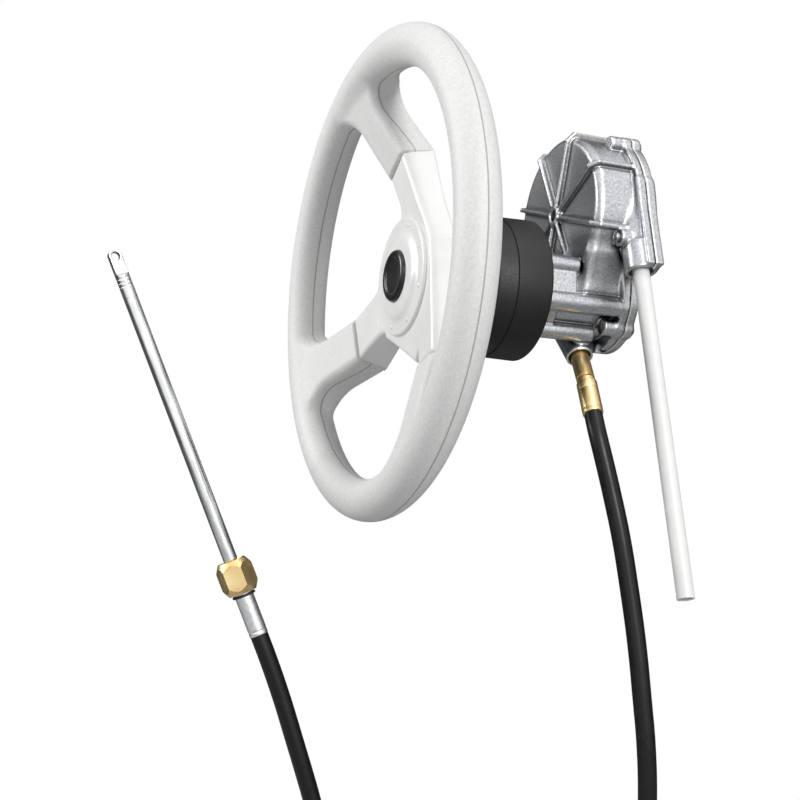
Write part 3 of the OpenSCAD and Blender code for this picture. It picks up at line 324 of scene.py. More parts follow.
# turned surface: place = origin + height along the axis + radius towards each direction round it
def turned(profile, origin, axis, steps=96, closed=False):
    profile, axis = np.array(profile, float), unit(axis)
    side = unit(np.cross(axis, (0.31, 0.2, 0.93) if abs(axis[2]) < 0.8 else (1, 0.1, 0)))
    turns = np.linspace(0, 2 * np.pi, steps, endpoint=False)
    ways = np.cos(turns)[:, None] * side + np.sin(turns)[:, None] * np.cross(axis, side)
    points = np.array(origin) + profile[:, 1][:, None, None] * axis + profile[:, 0][:, None, None] * ways
    return points.reshape(-1, 3), gridFaces(len(profile), steps, closeRows=closed)


def joined(parts):  # several lists of points and faces as one, with the face numbers moved on
    points, faces, start = [], [], 0
    for p, f in parts:
        points.append(p)
        faces.append(f + start)
        start += len(p)
    return np.concatenate(points), np.concatenate(faces)


def onRing(radius, angle, height=0.0):  # place at an angle on a circle round the y axis, its middle at that height
    return radius * math.cos(math.radians(angle)), 0.0, height + radius * math.sin(math.radians(angle))


# distance fields, below zero inside
def rounded(a, b, edge):  # two walls that cross, with the corner between them rounded to that radius
    a, b = a + edge, b + edge
    return np.hypot(np.maximum(a, 0), np.maximum(b, 0)) + np.minimum(np.maximum(a, b), 0) - edge


def rodField(p, origin, axis, radius, start, end, edge=0.0):  # how far past the side and the ends of a cylinder
    axis = unit(axis)
    rel = p - np.array(origin, float)
    along = rel @ axis
    out = np.sqrt(np.maximum(np.einsum("ij,ij->i", rel, rel) - along ** 2, 1e-9)) - radius
    return rounded(out, np.abs(along - (start + end) / 2) - (end - start) / 2, edge)


# a cylinder whose radius runs evenly from one end to the other
def coneField(p, origin, axis, start, end, startRadius, endRadius):
    axis = unit(axis)
    rel = p - np.array(origin, float)
    along = rel @ axis
    out = np.sqrt(np.maximum(np.einsum("ij,ij->i", rel, rel) - along ** 2, 1e-9))
    radius = startRadius + (endRadius - startRadius) * np.clip((along - start) / (end - start), 0, 1)
    slope = math.cos(math.atan2(endRadius - startRadius, end - start))
    return np.maximum((out - radius) * slope, np.abs(along - (start + end) / 2) - (end - start) / 2)


def boxField(a, b, c, halfA, halfB, halfC, edge=0.0):  # how far past the sides of a box, its edges rounded
    q = [np.abs(a) - halfA + edge, np.abs(b) - halfB + edge, np.abs(c) - halfC + edge]
    out = np.sqrt(sum(np.maximum(x, 0) ** 2 for x in q))
    return out + np.minimum(np.maximum(np.maximum(q[0], q[1]), q[2]), 0) - edge


def join(a, b, soft=0.0):  # union with a fillet about a quarter of soft deep
    if soft <= 0:
        return np.minimum(a, b)
    h = np.maximum(soft - np.abs(a - b), 0) / soft
    return np.minimum(a, b) - h * h * soft / 4


def cut(a, b, soft=0.0):  # a without b, the join of their complements
    return -join(-a, b, soft)


def fieldSlope(field, p, step):  # difference of the field a step to either side, along each axis
    g = np.empty_like(p)
    for i in range(3):
        shift = np.zeros(3)
        shift[i] = step
        g[:, i] = (field(p + shift) - field(p - shift)) / (2 * step)
    return g


# surface of a distance field: a point in each grid cell that the surface crosses, pulled onto it and evened out,
# and a quad round each crossed grid edge
def netSurface(field, low, high, cell, rounds=2):
    low, high = np.array(low, float), np.array(high, float)
    count = np.ceil((high - low) / cell).astype(int) + 1
    axes = [low[i] + cell * np.arange(count[i]) for i in range(3)]
    value = np.empty(count, np.float32)
    for i in range(0, count[0], 20):
        block = np.stack(np.meshgrid(axes[0][i:i + 20], axes[1], axes[2], indexing="ij"), -1)
        value[i:i + 20] = field(block.reshape(-1, 3)).reshape(block.shape[:3])
    inside = value < 0
    corners = [(i, j, k) for i in (0, 1) for j in (0, 1) for k in (0, 1)]
    part = lambda a, c: a[c[0]:count[0] - 1 + c[0], c[1]:count[1] - 1 + c[1], c[2]:count[2] - 1 + c[2]]
    full = sum(part(inside, c).astype(np.int8) for c in corners)
    crossed = (full > 0) & (full < 8)
    cells = np.argwhere(crossed)
    number = np.full(crossed.shape, -1, np.int64)
    number[crossed] = np.arange(len(cells))
    values = np.stack([part(value, c)[crossed] for c in corners], 1).astype(float)
    total, hits = np.zeros((len(cells), 3)), np.zeros(len(cells))
    for a in range(8):
        for b in range(a + 1, 8):
            step = np.subtract(corners[b], corners[a])
            if np.abs(step).sum() != 1:
                continue
            hit = (values[:, a] < 0) != (values[:, b] < 0)
            t = values[hit, a] / (values[hit, a] - values[hit, b])
            total[hit] += np.array(corners[a]) + t[:, None] * step
            hits[hit] += 1
    points = (cells + total / hits[:, None]) * cell + low
    quads = []
    for axis in range(3):
        order = (axis, (axis + 1) % 3, (axis + 2) % 3)
        solid, index = inside.transpose(order), number.transpose(order)
        here, there = solid[:-1, 1:-1, 1:-1], solid[1:, 1:-1, 1:-1]
        i, j, k = np.nonzero(here != there)
        ring = np.stack([index[i, j, k], index[i, j + 1, k], index[i, j + 1, k + 1], index[i, j, k + 1]], 1)
        back = ~here[i, j, k]
        ring[back] = ring[back][:, ::-1]
        quads.append(ring)
    faces = np.concatenate(quads)

    def pull(p):
        slope = fieldSlope(field, p, 0.15 * cell)
        size = np.maximum(np.einsum("ij,ij->i", slope, slope), 0.05)
        move = np.clip(field(p) / size, -0.6 * cell, 0.6 * cell)
        return p - move[:, None] * slope

    for _ in range(2):
        points = pull(points)
    uses = np.bincount(faces.ravel(), minlength=len(points))[:, None]
    for _ in range(rounds):
        middle = points[faces].mean(1)
        sums = np.stack([np.bincount(faces.ravel(), np.repeat(middle[:, i], 4), len(points)) for i in range(3)], 1)
        points = pull(0.5 * points + 0.5 * sums / uses)
    points = pull(points)
    slope = fieldSlope(field, points, 0.3 * cell)
    way = slope / np.maximum(np.linalg.norm(slope, axis=1), 1e-6)[:, None]
    return points, faces, way


# how far a surface point sits in a hollow, and how sharp an edge it is on, from the field a little out and in
def hollowAndEdge(field, points, way, outMm=3.5, inMm=1.4):
    # how deep a point sits in a hollow; it darkens the casting's colour there, as residue and painted shade
    residue_and_shade = np.clip(1 - field(points + way * outMm) / outMm, 0, 1)
    edge = np.clip(1 + field(points - way * inMm) / inMm, 0, 1)
    return {"residue_and_shade": np.clip(residue_and_shade * 1.15 - 0.1, 0, 1), "edge": np.clip(edge * 1.3 - 0.25, 0, 0.8)}


# the cable: leaves the crimp sleeve, hangs down, lies in a coil below the picture and comes up to the ram's sleeve
cable = {"diameter": 13.3, "coilAt": (-58, -10, -470), "coilRadius": 84, "turns": 4.25, "ringsPerTurn": 24,
         "spare": 0.7}
# measures of the solids that its two ends follow: drum, inlet, outlet, fittings, and the place and lean of the ram
drumZ, corePitch, inletLean, outletLean = 62.0, 50.0, 30.0, 9.5
inletLength, outletLength, ferruleLength, crimpLength, sleeveLength = 98.0, 66.0, 24.0, 28.0, 45.5
sinIn, cosIn = math.sin(math.radians(inletLean)), math.cos(math.radians(inletLean))
sinOut, cosOut = math.sin(math.radians(outletLean)), math.cos(math.radians(outletLean))
inletStart = np.array((-corePitch * cosIn, 54.0, drumZ - corePitch * sinIn))
inletWay = unit((sinIn, -8.6 / inletLength, -cosIn))
outletStart = np.array((corePitch * cosOut, 66.0, drumZ + corePitch * sinOut))
outletWay = np.array((sinOut, 0.0, -cosOut))
ferruleEnd = inletStart + inletWay * (inletLength + ferruleLength)
crimpWay = unit((0.36, -0.03, -0.93))
crimpEnd = ferruleEnd + crimpWay * crimpLength
ramLean, ramTurn = math.radians(23.7), math.radians(4.9)
nutAt = np.array((-112.0, -179.0, -207.0))
ramWay = np.array((math.sin(ramLean) * math.sin(ramTurn), -math.sin(ramLean) * math.cos(ramTurn), math.cos(ramLean)))
ramSide = np.array((math.cos(ramTurn), math.sin(ramTurn), 0.0))
sleeveEnd = nutAt - ramWay * sleeveLength
coilStep = cable["diameter"] + cable["spare"]
turnBack = cable["turns"] / 2 + 0.125
along = np.arange(int(cable["ringsPerTurn"] * cable["turns"]) + 1) / cable["ringsPerTurn"]
climb = np.clip((along - turnBack + 0.25) / 0.5, 0, 1)
coilTurn = np.radians(90 + 360 * along)
coilSize = cable["coilRadius"] - coilStep * (turnBack - np.abs(along - turnBack))
coilLine = np.array(cable["coilAt"]) + np.stack(
    [coilSize * np.cos(coilTurn), coilSize * np.sin(coilTurn), coilStep * climb * climb * (3 - 2 * climb)], 1)
helmRoute = [crimpEnd, crimpEnd + crimpWay * 14, (36, 45, -128), (37, 50, -152), (38, 56, -184), (37, 62, -220),
             (36, 67, -256), (34, 71, -292), (31, 75, -328), (26, 77.6, -364), (22, 77.6, -392), (17, 77, -418),
             (6, 76, -445), (-16, 75, -463), coilLine[0] + (cable["diameter"], 0, 0)]
ramRoute = [sleeveEnd, sleeveEnd - ramWay * 14, (-116, -143, -291), (-118, -131, -324), (-121, -118, -360),
            (-124, -105, -398), (-129, -86, -429), (-135, -56, -449), coilLine[-1] - (0, cable["diameter"], 0)]
cablePoints = np.concatenate([np.array(helmRoute, float), coilLine, np.array(ramRoute, float)[::-1]])
cableCurve = bpy.data.curves.new("steering_cable", "CURVE")
cableCurve.dimensions = "3D"
cableCurve.bevel_depth = cable["diameter"] / 2 * mm
cableCurve.bevel_resolution = 5
cableCurve.resolution_u = 5
cableCurve.use_fill_caps = True
line = cableCurve.splines.new("BEZIER")
line.bezier_points.add(len(cablePoints) - 1)
for knot, point in zip(line.bezier_points, cablePoints):
    knot.co = point * mm
    knot.handle_left_type = knot.handle_right_type = "AUTO"
cableCurve.materials.append(jacketPvc)
cablePiece = bpy.data.objects.new("steering_cable", cableCurve)
bpy.context.scene.collection.objects.link(cablePiece)
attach(cablePiece, "base")
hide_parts("cable_helm_run", "cable_coil", "cable_ram_run")

# ties round the coil: a flat band with rounded corners
tie = {"angles": (20, 300), "width": 12, "gap": 0.9, "slack": 1, "thick": 1.2}
tieParts = []
for angle in tie["angles"]:
    first = ((angle - 90 + 360) / 360) % 1
    passes = np.arange(first, cable["turns"], 1)
    sizes = [cable["coilRadius"] - coilStep * (turnBack - abs(t - turnBack)) for t in passes]
    inner = min(sizes) - cable["diameter"] / 2 - tie["gap"] - tie["slack"] - tie["thick"]
    outer = max(sizes) + cable["diameter"] / 2 + tie["gap"] + tie["slack"] + tie["thick"]
    low = -cable["diameter"] / 2 - tie["gap"] - tie["thick"]
    high = coilStep + cable["diameter"] / 2 + tie["gap"] + tie["thick"]
    outline = softened([(inner, low), (outer, low), (outer, high), (inner, high)], 6, bends=9)
    normal = np.roll(outline, -1, 0) - np.roll(outline, 1, 0)
    normal = np.stack([normal[:, 1], -normal[:, 0]], 1) / np.linalg.norm(normal, axis=1)[:, None]
    c, s = math.cos(math.radians(angle)), math.sin(math.radians(angle))
    half, thick = tie["width"] / 2, tie["thick"]
    section = softened([(-half, 0), (half, 0), (half, -thick), (-half, -thick)], 0.35, bends=3)
    flat = outline[:, None, :] + section[None, :, 1, None] * normal[:, None, :]
    sideways = np.broadcast_to(section[None, :, 0], flat.shape[:2])
    points = np.stack([flat[..., 0] * c - sideways * s, flat[..., 0] * s + sideways * c, flat[..., 1]], -1)
    tieParts.append((points.reshape(-1, 3) + cable["coilAt"], gridFaces(len(outline), len(section), closeRows=True)))
points, faces = joined(tieParts)
tiePiece = meshPiece("coil_tie_bands", points, faces, tieNylon, "base", ["coil_ties"], sharp=40)

# cable end: sleeve with rolled edges, hex nut with turned chamfers, ram with a pressed flat tip
sleeve = {"radius": 7.0, "groove": 6.75, "collar": 9.0, "bore": 4.05, "core": 2.0}
s = sleeve
profile = softened([(s["core"], -sleeveLength), (s["radius"], -sleeveLength), (s["radius"], -43), (s["groove"], -42.6),
                    (s["groove"], -41.8), (s["radius"], -41.4), (s["radius"], -8.5), (s["collar"], -8.5),
                    (s["collar"], -3.5), (s["bore"], -3.5), (s["bore"], -33.5), (s["core"], -33.5)],
                   [0, 0.8, 0.2, 0.2, 0.2, 0.2, 0.3, 0.4, 0.4, 0.3, 0.3, 0])
points, faces = turned(profile, nutAt, ramWay, 72, closed=True)
sleevePiece = meshPiece("cable_end_sleeve", points, faces, sleeveZinc, "base", ["end_sleeve"], sharp=40)

nut = {"flats": 24.0, "length": 25.0, "chamfer": 6.0, "endRadius": 10.4, "bore": 7.06, "collarBore": 9.06}
around = np.linspace(0, 2 * np.pi, 192, endpoint=False)
hexRadius = nut["flats"] / 2 / np.cos(around % (np.pi / 3) - np.pi / 6)
half = nut["length"] / 2
reach = nut["chamfer"] + 0.2  # rows lie close where the chamfer's cone meets the flats
rows = np.concatenate([np.linspace(-half, -half + reach, 32), np.linspace(half - reach, half, 32)])
lean = half - np.abs(rows)
cone = nut["endRadius"] + lean * (nut["flats"] / 2 / math.cos(math.pi / 6) - nut["endRadius"]) / nut["chamfer"]
outside = np.minimum(hexRadius[None, :], cone[:, None])
inside = [(nut["collarBore"] + 0.6, half), (nut["collarBore"], half - 0.6), (nut["collarBore"], -half + 3.7),
          (nut["bore"], -half + 3.7), (nut["bore"], -half + 0.5), (nut["bore"] + 0.5, -half)]
size = np.concatenate([outside, np.array([[r] * len(around) for r, h in inside])])
heights = np.concatenate([rows, [h for r, h in inside]])
upWay = np.cross(ramWay, ramSide)
ways = np.cos(around)[:, None] * ramSide + np.sin(around)[:, None] * upWay
points = nutAt + heights[:, None, None] * ramWay + size[..., None] * ways[None]
nutPiece = meshPiece("coupling_nut_brass", points.reshape(-1, 3), gridFaces(len(heights), len(around), closeRows=True),
                     turnedBrass, "nut", ["coupling_nut"], sharp=14)

ram = {"radius": 5.3, "foot": -2.9, "tipFrom": 218.0, "flatFrom": 232.0, "end": 256.0, "tip": 5.0, "hole": 3.2,
       "bore": 4.06, "boreTop": 215.0, "grooves": (227.5, 230.5, 233.5), "grooveHalf": 0.8, "grooveDeep": 0.35}


def ramLocal(p):  # across, along the tip's width, and along the ram
    rel = p - nutAt
    return rel @ ramSide, rel @ upWay, rel @ ramWay


def ramTipField(p):  # the round ram is milled flat on two sides, rounded over at its end and drilled
    a, b, s = ramLocal(p)
    mill = np.clip((s - ram["flatFrom"] - 4) / 2.5, 0, 1)
    halfTip = ram["radius"] + (ram["tip"] / 2 - ram["radius"]) * np.sqrt(mill * (2 - mill))
    groove = sum(np.clip(1 - np.abs(s - at) / ram["grooveHalf"], 0, 1) for at in ram["grooves"])
    shape = np.maximum(np.hypot(a, b) - ram["radius"] + ram["grooveDeep"] * groove, (np.abs(a) - halfTip) * 0.6)
    over = np.maximum(s - ram["end"] + ram["radius"], 0)
    shape = np.maximum(shape, (np.abs(b) ** 3 + over ** 3) ** (1 / 3) - ram["radius"] + 0.55 * np.clip(over / 3, 0, 1))
    shape = cut(shape, np.hypot(b, s - ram["end"] + ram["radius"]) - ram["hole"], 0.6)
    return np.maximum(shape, ram["tipFrom"] - s)


corner = nutAt + ramWay * (ram["tipFrom"] - 0.5)
tipEnd = nutAt + ramWay * (ram["end"] + 0.5)
low, high = np.minimum(corner, tipEnd) - 7.5, np.maximum(corner, tipEnd) + 7.5
tipPoints, tipFaces = netSurface(ramTipField, low, high, 0.45)[:2]
profile = softened([(ram["radius"], ram["tipFrom"] + 0.1), (ram["radius"], ram["foot"]), (ram["bore"], ram["foot"]),
                    (ram["bore"], ram["boreTop"]), (0.0, ram["boreTop"])], [0, 0.6, 0.5, 0.4, 0], closed=False)
tubePart = turned(profile[::-1], nutAt, ramWay, 72)
points, faces = joined([tubePart, (tipPoints, tipFaces)])
meshPiece("ram_stainless", points, faces, ramStainless, "ram", ["ram"], sharp=40, merge=True)

print("cable and its end made")


# wheel: rim and spoke skins moulded as one, spider under them, stepped ring and cap
# a spoke is its direction, how far its middle line passes from the centre, half its width, and where its skin ends
wheel = {"rimRadius": 160.0, "tube": 15.0, "rimY": -112.0, "gripY": -86.0, "spokeDepth": 13.0, "thinning": 2.2,
         "wing": 5, "skin": 1.5, "flare": 26.0, "corner": 5.5, "draft": 3.2, "cell": 1.45,
         "spokes": ((198.0, 0.0, 21.5, 88.0), (280.0, 33.5, 18.0, 78.0), (116.0, -33.5, 18.0, 78.0))}


def spokeFrame(p, angle):  # distances along and across a direction in the wheel's plane
    c, s = math.cos(math.radians(angle)), math.sin(math.radians(angle))
    return p[:, 0] * c + p[:, 2] * s, -p[:, 0] * s + p[:, 2] * c


def gripField(p):  # the rim's ring, joined with a drafted bar for each spoke
    w = wheel
    radius, y = np.hypot(p[:, 0], p[:, 2]), p[:, 1]
    shape = np.hypot(radius - w["rimRadius"], y - w["rimY"]) - w["tube"]
    for angle, aside, half, end in w["spokes"]:
        u, v = spokeFrame(p, angle)
        v = v - aside
        t = np.clip((radius - (w["rimRadius"] - 12 - w["flare"])) / w["flare"], 0, 0.97)
        wide = half + w["flare"] * 0.9 * (1 - np.sqrt(1 - t * t))  # sides curve out into the rim
        run = np.clip((u - end) / (w["rimRadius"] - 10 - end), -0.3, 1)
        middle = w["gripY"] + (w["rimY"] - w["gripY"]) * run
        wing = w["wing"] * np.clip((np.abs(v) - half) / 18, 0, 1) ** 1.5  # thinner where the sides curve out
        deep = w["spokeDepth"] - w["thinning"] * np.clip(run, 0, 1) - wing
        draft = w["draft"] * np.clip((y - middle) / deep, -1.3, 1.3)
        bar = rounded(np.abs(v) - wide - draft, np.abs(y - middle) - deep, w["corner"])
        bar = np.maximum(bar, radius - (w["rimRadius"] - 4))
        shape = join(shape, cut(bar, u - end, 1.0), 5.0)
    return shape


points, faces = netSurface(gripField, (-178, -130, -178), (178, -74, 178), wheel["cell"])[:2]
meshPiece("rim_and_spoke_skins", points, faces, gripFinish, "wheel", ["rim_grip"])

spider = {"radius": 46.0, "front": -94.0, "back": -77.0, "armFront": -97.5, "armBack": -74.5, "edge": 2.4,
          "fillet": 16.0, "plateAngle": 242.4, "plateReach": 51.0, "plateAside": 20, "plateHalf": 37, "shaftHole": 16,
          "hubSeat": 24.3, "cell": 1.1}


def spiderField(p):  # drawn in plan, then given its thickness, draft and rounded edges
    s = spider
    y, radius = p[:, 1], np.hypot(p[:, 0], p[:, 2])
    arms = []
    for angle, aside, half, end in wheel["spokes"]:
        u, v = spokeFrame(p, angle)
        start = -7.0 if aside else 0.0
        middle, reach = (start + end + 2) / 2, (end + 2 - start) / 2
        arms.append(np.maximum(np.abs(v - aside) - half + wheel["skin"], np.abs(u - middle) - reach))
    u, v = spokeFrame(p, s["plateAngle"])  # straight edge between the single spoke and the lower side spoke
    deep = s["plateReach"] / 2
    plate = np.maximum(np.abs(u - deep) - deep, np.abs(v - s["plateAside"]) - s["plateHalf"])
    plan = join(join(radius - s["radius"], arms[0], s["fillet"]), np.minimum(arms[1], arms[2]), s["fillet"])
    plan = join(plan, plate, 3)
    rise = np.clip((radius - 44) / 40, 0, 1.15)
    frontY = s["front"] + (s["armFront"] - s["front"]) * rise
    backY = s["back"] + (s["armBack"] - s["back"]) * rise
    middle, deep = (frontY + backY) / 2, (backY - frontY) / 2
    draft = wheel["draft"] * np.clip((y - middle) / deep, -1.3, 1.3)
    shape = rounded(plan - draft, np.abs(y - middle) - deep, s["edge"])
    shape = cut(shape, rodField(p, shaftAt, upY, s["shaftHole"], -110, -85.7))
    return cut(shape, rodField(p, shaftAt, upY, s["hubSeat"], -85.9, -60))


points, faces = netSurface(spiderField, (-96, -104, -96), (96, -74, 96), spider["cell"])[:2]
meshPiece("hub_spider_moulding", points, faces, glossWhite, "wheel", ["hub_spider"], sharp=50)

hubRing = {"markRadius": 37.0, "marks": (-70, -25, 20, 65, 155, 245)}
profile = softened([(18.6, -93.9), (43, -93.9), (42, -96.4), (33, -96.8), (28.5, -99.2), (18.6, -100)],
                   [0.2, 0.2, 2.2, 3.5, 3.5, 0.6], bends=9)
mark = [(0, -97.1), (1.2, -97.1), (1.5, -96.9), (1.5, -96.2), (0, -96.2)]  # left by an ejector pin
parts = [turned(profile, shaftAt, upY, 128, closed=True)]
parts += [turned(mark, onRing(hubRing["markRadius"], angle), upY, 20) for angle in hubRing["marks"]]
points, faces = joined(parts)
meshPiece("hub_step_ring", points, faces, glossWhite, "wheel", ["hub_ring"], sharp=40, merge=True)

profile = softened([(0, -101.4), (12.6, -101.9), (13.4, -102.7), (16.8, -103), (18.5, -101.6), (18.5, -96), (16.5, -96),
                    (16.5, -99.2), (0, -99.2)], [0, 0.5, 0.8, 1.0, 1.2, 0.4, 0.4, 0.6, 0], closed=False)
points, faces = turned(profile, shaftAt, upY, 96)
meshPiece("centre_cap_plain", points, faces, glossBlack, "wheel", ["centre_cap"], sharp=40, merge=True)
print("wheel made")

# bezel: straight band, a small step, a cone and a flat front
bezel = {"radius": 52.0, "band": 27.0, "depth": 42.0, "wall": 3.5, "hole": 18.5}
r, band, front, back = bezel["radius"], -bezel["band"], -bezel["depth"], bezel["wall"] - bezel["depth"]
profile = softened([(r - 3.5, 0), (r - 1, 0), (r, -1.2), (r - 0.6, band), (r - 1.8, band), (r - 4.5, front + 1.6),
                    (r - 6.4, front), (bezel["hole"], front), (bezel["hole"], back), (r - 9, back), (r - 5.1, band),
                    (r - 3.5, -8)], [0.4, 0.8, 0.8, 0.7, 0.5, 1.4, 1.6, 0.8, 0.8, 1, 1, 1])
points, faces = turned(profile, shaftAt, upY, 144, closed=True)
meshPiece("dash_bezel", points, faces, bezelBlack, "base", ["bezel"], sharp=40)

# gearbox housing: one die casting, every junction with a fillet
# a post is its angle on the ring and its length, a bore on the shaft is its radius, start and end, the wing is where it
# starts and ends past the drum's middle and how far it runs down
case = {"drum": 60.0, "front": 33.0, "part": 70.0, "flange": 64.0, "lobe": 40.0, "wing": (38.5, 63.8, 65.0),
        "barrel": 30, "ribs": 8, "ribHalf": 1.7, "ribEdge": 0.7, "crown": 7.5, "postRing": 34.0, "post": 6.5,
        "posts": ((24, 30), (114, 30), (204, 30), (294, 50)), "longPost": 7.2, "longPosts": (336, 156),
        "screwBoss": 6, "outletBoss": 11.6, "tubeScrewFace": -15.5, "ferruleScrewFace": 9, "room": 55, "wire": 4.4,
        "ferruleSeat": 6.4, "tubeSeat": 6.15, "mouth": (6.0, 8.9), "boltHole": 3.3, "screwHole": 2.2, "cell": 1.06,
        "shaftBores": ((16, 38, 51), (13.2, 3, 33), (16.2, -2, 4), (10.5, 32, 39), (9.0, 48, 80))}
drumAt = (0, 0, drumZ)
screwPlaces = [onRing(62, a, drumZ) for a in (100, 48, 150, 196)] + [onRing(36, a) for a in (310, 225)]
tubeScrewAt, ferruleScrewAt = outletStart + outletWay * 40, inletStart + inletWay * 88
ribAngles = [360 / case["ribs"] * (k + 0.5) for k in range(case["ribs"])]


def slabField(p, y0, y1, edge):  # outline that the flange and the cover share
    middle, half = (y0 + y1) / 2, (y1 - y0) / 2
    shape = rodField(p, drumAt, upY, case["flange"], y0, y1, edge)
    shape = join(shape, rodField(p, shaftAt, upY, case["lobe"], y0, y1, edge), 8)
    rel = p - np.array(drumAt)
    across, down = rel @ np.array((cosOut, 0, sinOut)), rel @ np.array((sinOut, 0, -cosOut))
    near, far, run = case["wing"]
    wing = boxField(across - (far + near) / 2, down - run / 2 + 1.5, p[:, 1] - middle,
                    (far - near) / 2, run / 2 + 1.5, half, edge)
    shape = join(shape, wing, 5)
    wide = 36 + 12 * np.clip((p[:, 2] + 2) / 36, 0, 1)
    neck = boxField(p[:, 0], p[:, 1] - middle, p[:, 2] - 16, wide, half, 18, edge)
    shape = join(shape, neck, 6)
    for at in screwPlaces:
        shape = join(shape, rodField(p, at, upY, case["screwBoss"], y0, y1, edge), 3)
    return shape


def wayField(p):  # the core wire's way, with the seats of the ferrule and the tube and their mouths
    c = case
    return np.minimum.reduce([
        rodField(p, inletStart, inletWay, c["wire"], -4, inletLength + 2),
        rodField(p, inletStart, inletWay, c["ferruleSeat"], inletLength - 20, inletLength + 2),
        rodField(p, outletStart, outletWay, c["wire"], -4, outletLength + 2),
        rodField(p, outletStart, outletWay, c["tubeSeat"], outletLength - 22, outletLength + 2),
        coneField(p, inletStart, inletWay, inletLength - 6, inletLength + 0.6, *c["mouth"]),
        coneField(p, outletStart, outletWay, outletLength - 9, outletLength + 0.6, *c["mouth"])])


def housingField(p):  # solid forms joined with fillets, ended at the dash and the joint, less the rooms and bores
    c = case
    x, y, z = p[:, 0], p[:, 1], p[:, 2]
    drum = rodField(p, drumAt, upY, c["drum"], c["front"], c["part"] + 8, 5.5)
    barrel = rodField(p, shaftAt, upY, c["barrel"], 0, c["part"] + 4, 1)
    wide = 34 + 10 * np.clip((z + 5) / 27, 0, 1)
    neck = boxField(x, y - 54, z - 8, wide, 20, 15, 4)
    shape = join(join(drum, neck, 12), barrel, 8)
    shape = join(shape, rodField(p, shaftAt, upY, 34, 0, 16, 0.8), 1.2)
    shape = join(shape, boxField(x, y - 13.5, z, 34.8, 15, 8.4, 1.2), 1.4)
    for angle, end in c["posts"]:
        shape = join(shape, rodField(p, onRing(c["postRing"], angle), upY, c["post"], 0, end, 0.9), 1.4)
    for angle in c["longPosts"]:
        shape = join(shape, rodField(p, onRing(c["postRing"], angle), upY, c["longPost"], 0, c["part"] + 4, 0.9), 1.2)
    rel = p - np.array(drumAt)
    for angle in ribAngles:  # ribs over the front and down the side, thin at the crown
        u, v = spokeFrame(rel, angle)
        run = boxField(u - 31, v, y - 32, 27, c["ribHalf"], 3.2, c["ribEdge"])
        down = boxField(u - 60.4, v, y - 50, 3.2, c["ribHalf"], 15, c["ribEdge"])
        knee = boxField((u - 58.6) * 0.66 + (y - 33.6) * -0.75, v, (u - 58.6) * 0.75 + (y - 33.6) * 0.66,
                        2.6, c["ribHalf"], 5.2, c["ribEdge"])
        shape = join(shape, np.minimum(np.minimum(run, down), knee), 1.1)
    shape = join(shape, rodField(p, drumAt, upY, c["crown"], 28.4, 36, 1.0), 1.6)
    shape = join(shape, slabField(p, 64, 76, 0.9), 1.6)
    for at in screwPlaces:
        shape = join(shape, rodField(p, at, upY, c["screwBoss"], 54, 74, 0.9), 1.6)
    shape = join(shape, rodField(p, outletStart, outletWay, 9, 0, 46, 0.8), 3)
    shape = join(shape, rodField(p, outletStart, outletWay, c["outletBoss"], 44, outletLength, 0.9), 1.8)
    shape = join(shape, rodField(p, tubeScrewAt, upY, 6.5, c["tubeScrewFace"], 3, 0.8), 1.4)
    shape = join(shape, rodField(p, inletStart, inletWay, 9.5, 30, 86, 0.8), 2.5)
    shape = join(shape, coneField(p, inletStart, inletWay, 66, inletLength, 15.5, 9.8), 2.5)
    shape = np.maximum(np.maximum(shape, y - c["part"]), -y)
    rooms = [rodField(p, drumAt, upY, c["room"], 38, 90), boxField(x, y - 44.5, z - 11, 15, 6.5, 11), wayField(p),
             rodField(p, tubeScrewAt, upY, 3.9, -22, -15),
             rodField(p, ferruleScrewAt, upY, 3.7, c["ferruleScrewFace"], 24),
             rodField(p, drumAt, upY, 4.2, 20, 32.5)]
    rooms += [rodField(p, shaftAt, upY, *bore) for bore in c["shaftBores"]]
    rooms += [rodField(p, onRing(c["postRing"], angle), upY, c["boltHole"], -2, 24) for angle, end in c["posts"]]
    rooms += [rodField(p, at, upY, c["screwHole"], 58, 80) for at in screwPlaces]
    return cut(shape, np.minimum.reduce(rooms), 0.5)


points, faces, way = netSurface(housingField, (-76, -2, -64), (88, 72.5, 136), case["cell"])
meshPiece("gearbox_casting", points, faces, castAluminium, "base", ["helm_housing"],
          marks=hollowAndEdge(housingField, points, way))

# rear cover; a boss is its radius and its back
cover = {"start": 68, "joint": 70.6, "back": 77.6, "shaftBoss": (14.5, 84.2), "drumBoss": (13, 79.6), "ribHalf": 1.9,
         "cell": 1.0}


def coverField(p):  # slab, bosses and ribs joined with fillets, ended at the joint, less the rooms and bores
    c, y, start = cover, p[:, 1], cover["start"]
    shape = slabField(p, start, c["back"], 1.5)
    shape = join(shape, rodField(p, shaftAt, upY, c["shaftBoss"][0], start, c["shaftBoss"][1], 1.5), 4)
    shape = join(shape, rodField(p, drumAt, upY, c["drumBoss"][0], start, c["drumBoss"][1], 1.2), 3)
    rel = p - np.array(drumAt)
    for angle in ribAngles:
        u, v = spokeFrame(rel, angle)
        shape = join(shape, boxField(u - 30, v, y - 77.4, 22, c["ribHalf"], 1.7, 1.2), 2)
    outlet = rodField(p, outletStart, outletWay, case["outletBoss"], 44, outletLength, 1.2)
    shape = join(shape, np.maximum(outlet, start - y), 3)
    for at in screwPlaces:
        shape = join(shape, rodField(p, at, upY, case["screwBoss"], start, c["back"], 0.8), 2)
    shape = np.maximum(shape, c["joint"] - y)
    rooms = [rodField(p, drumAt, upY, case["room"], 60, 73), wayField(p), rodField(p, shaftAt, upY, 10.1, 60, 81.6),
             rodField(p, shaftAt, upY, 7.4, 80, 90), rodField(p, drumAt, upY, 8.2, 60, 75.6)]
    rooms += [rodField(p, at, upY, case["screwHole"], 60, 80) for at in screwPlaces]
    return cut(shape, np.minimum.reduce(rooms), 0.5)


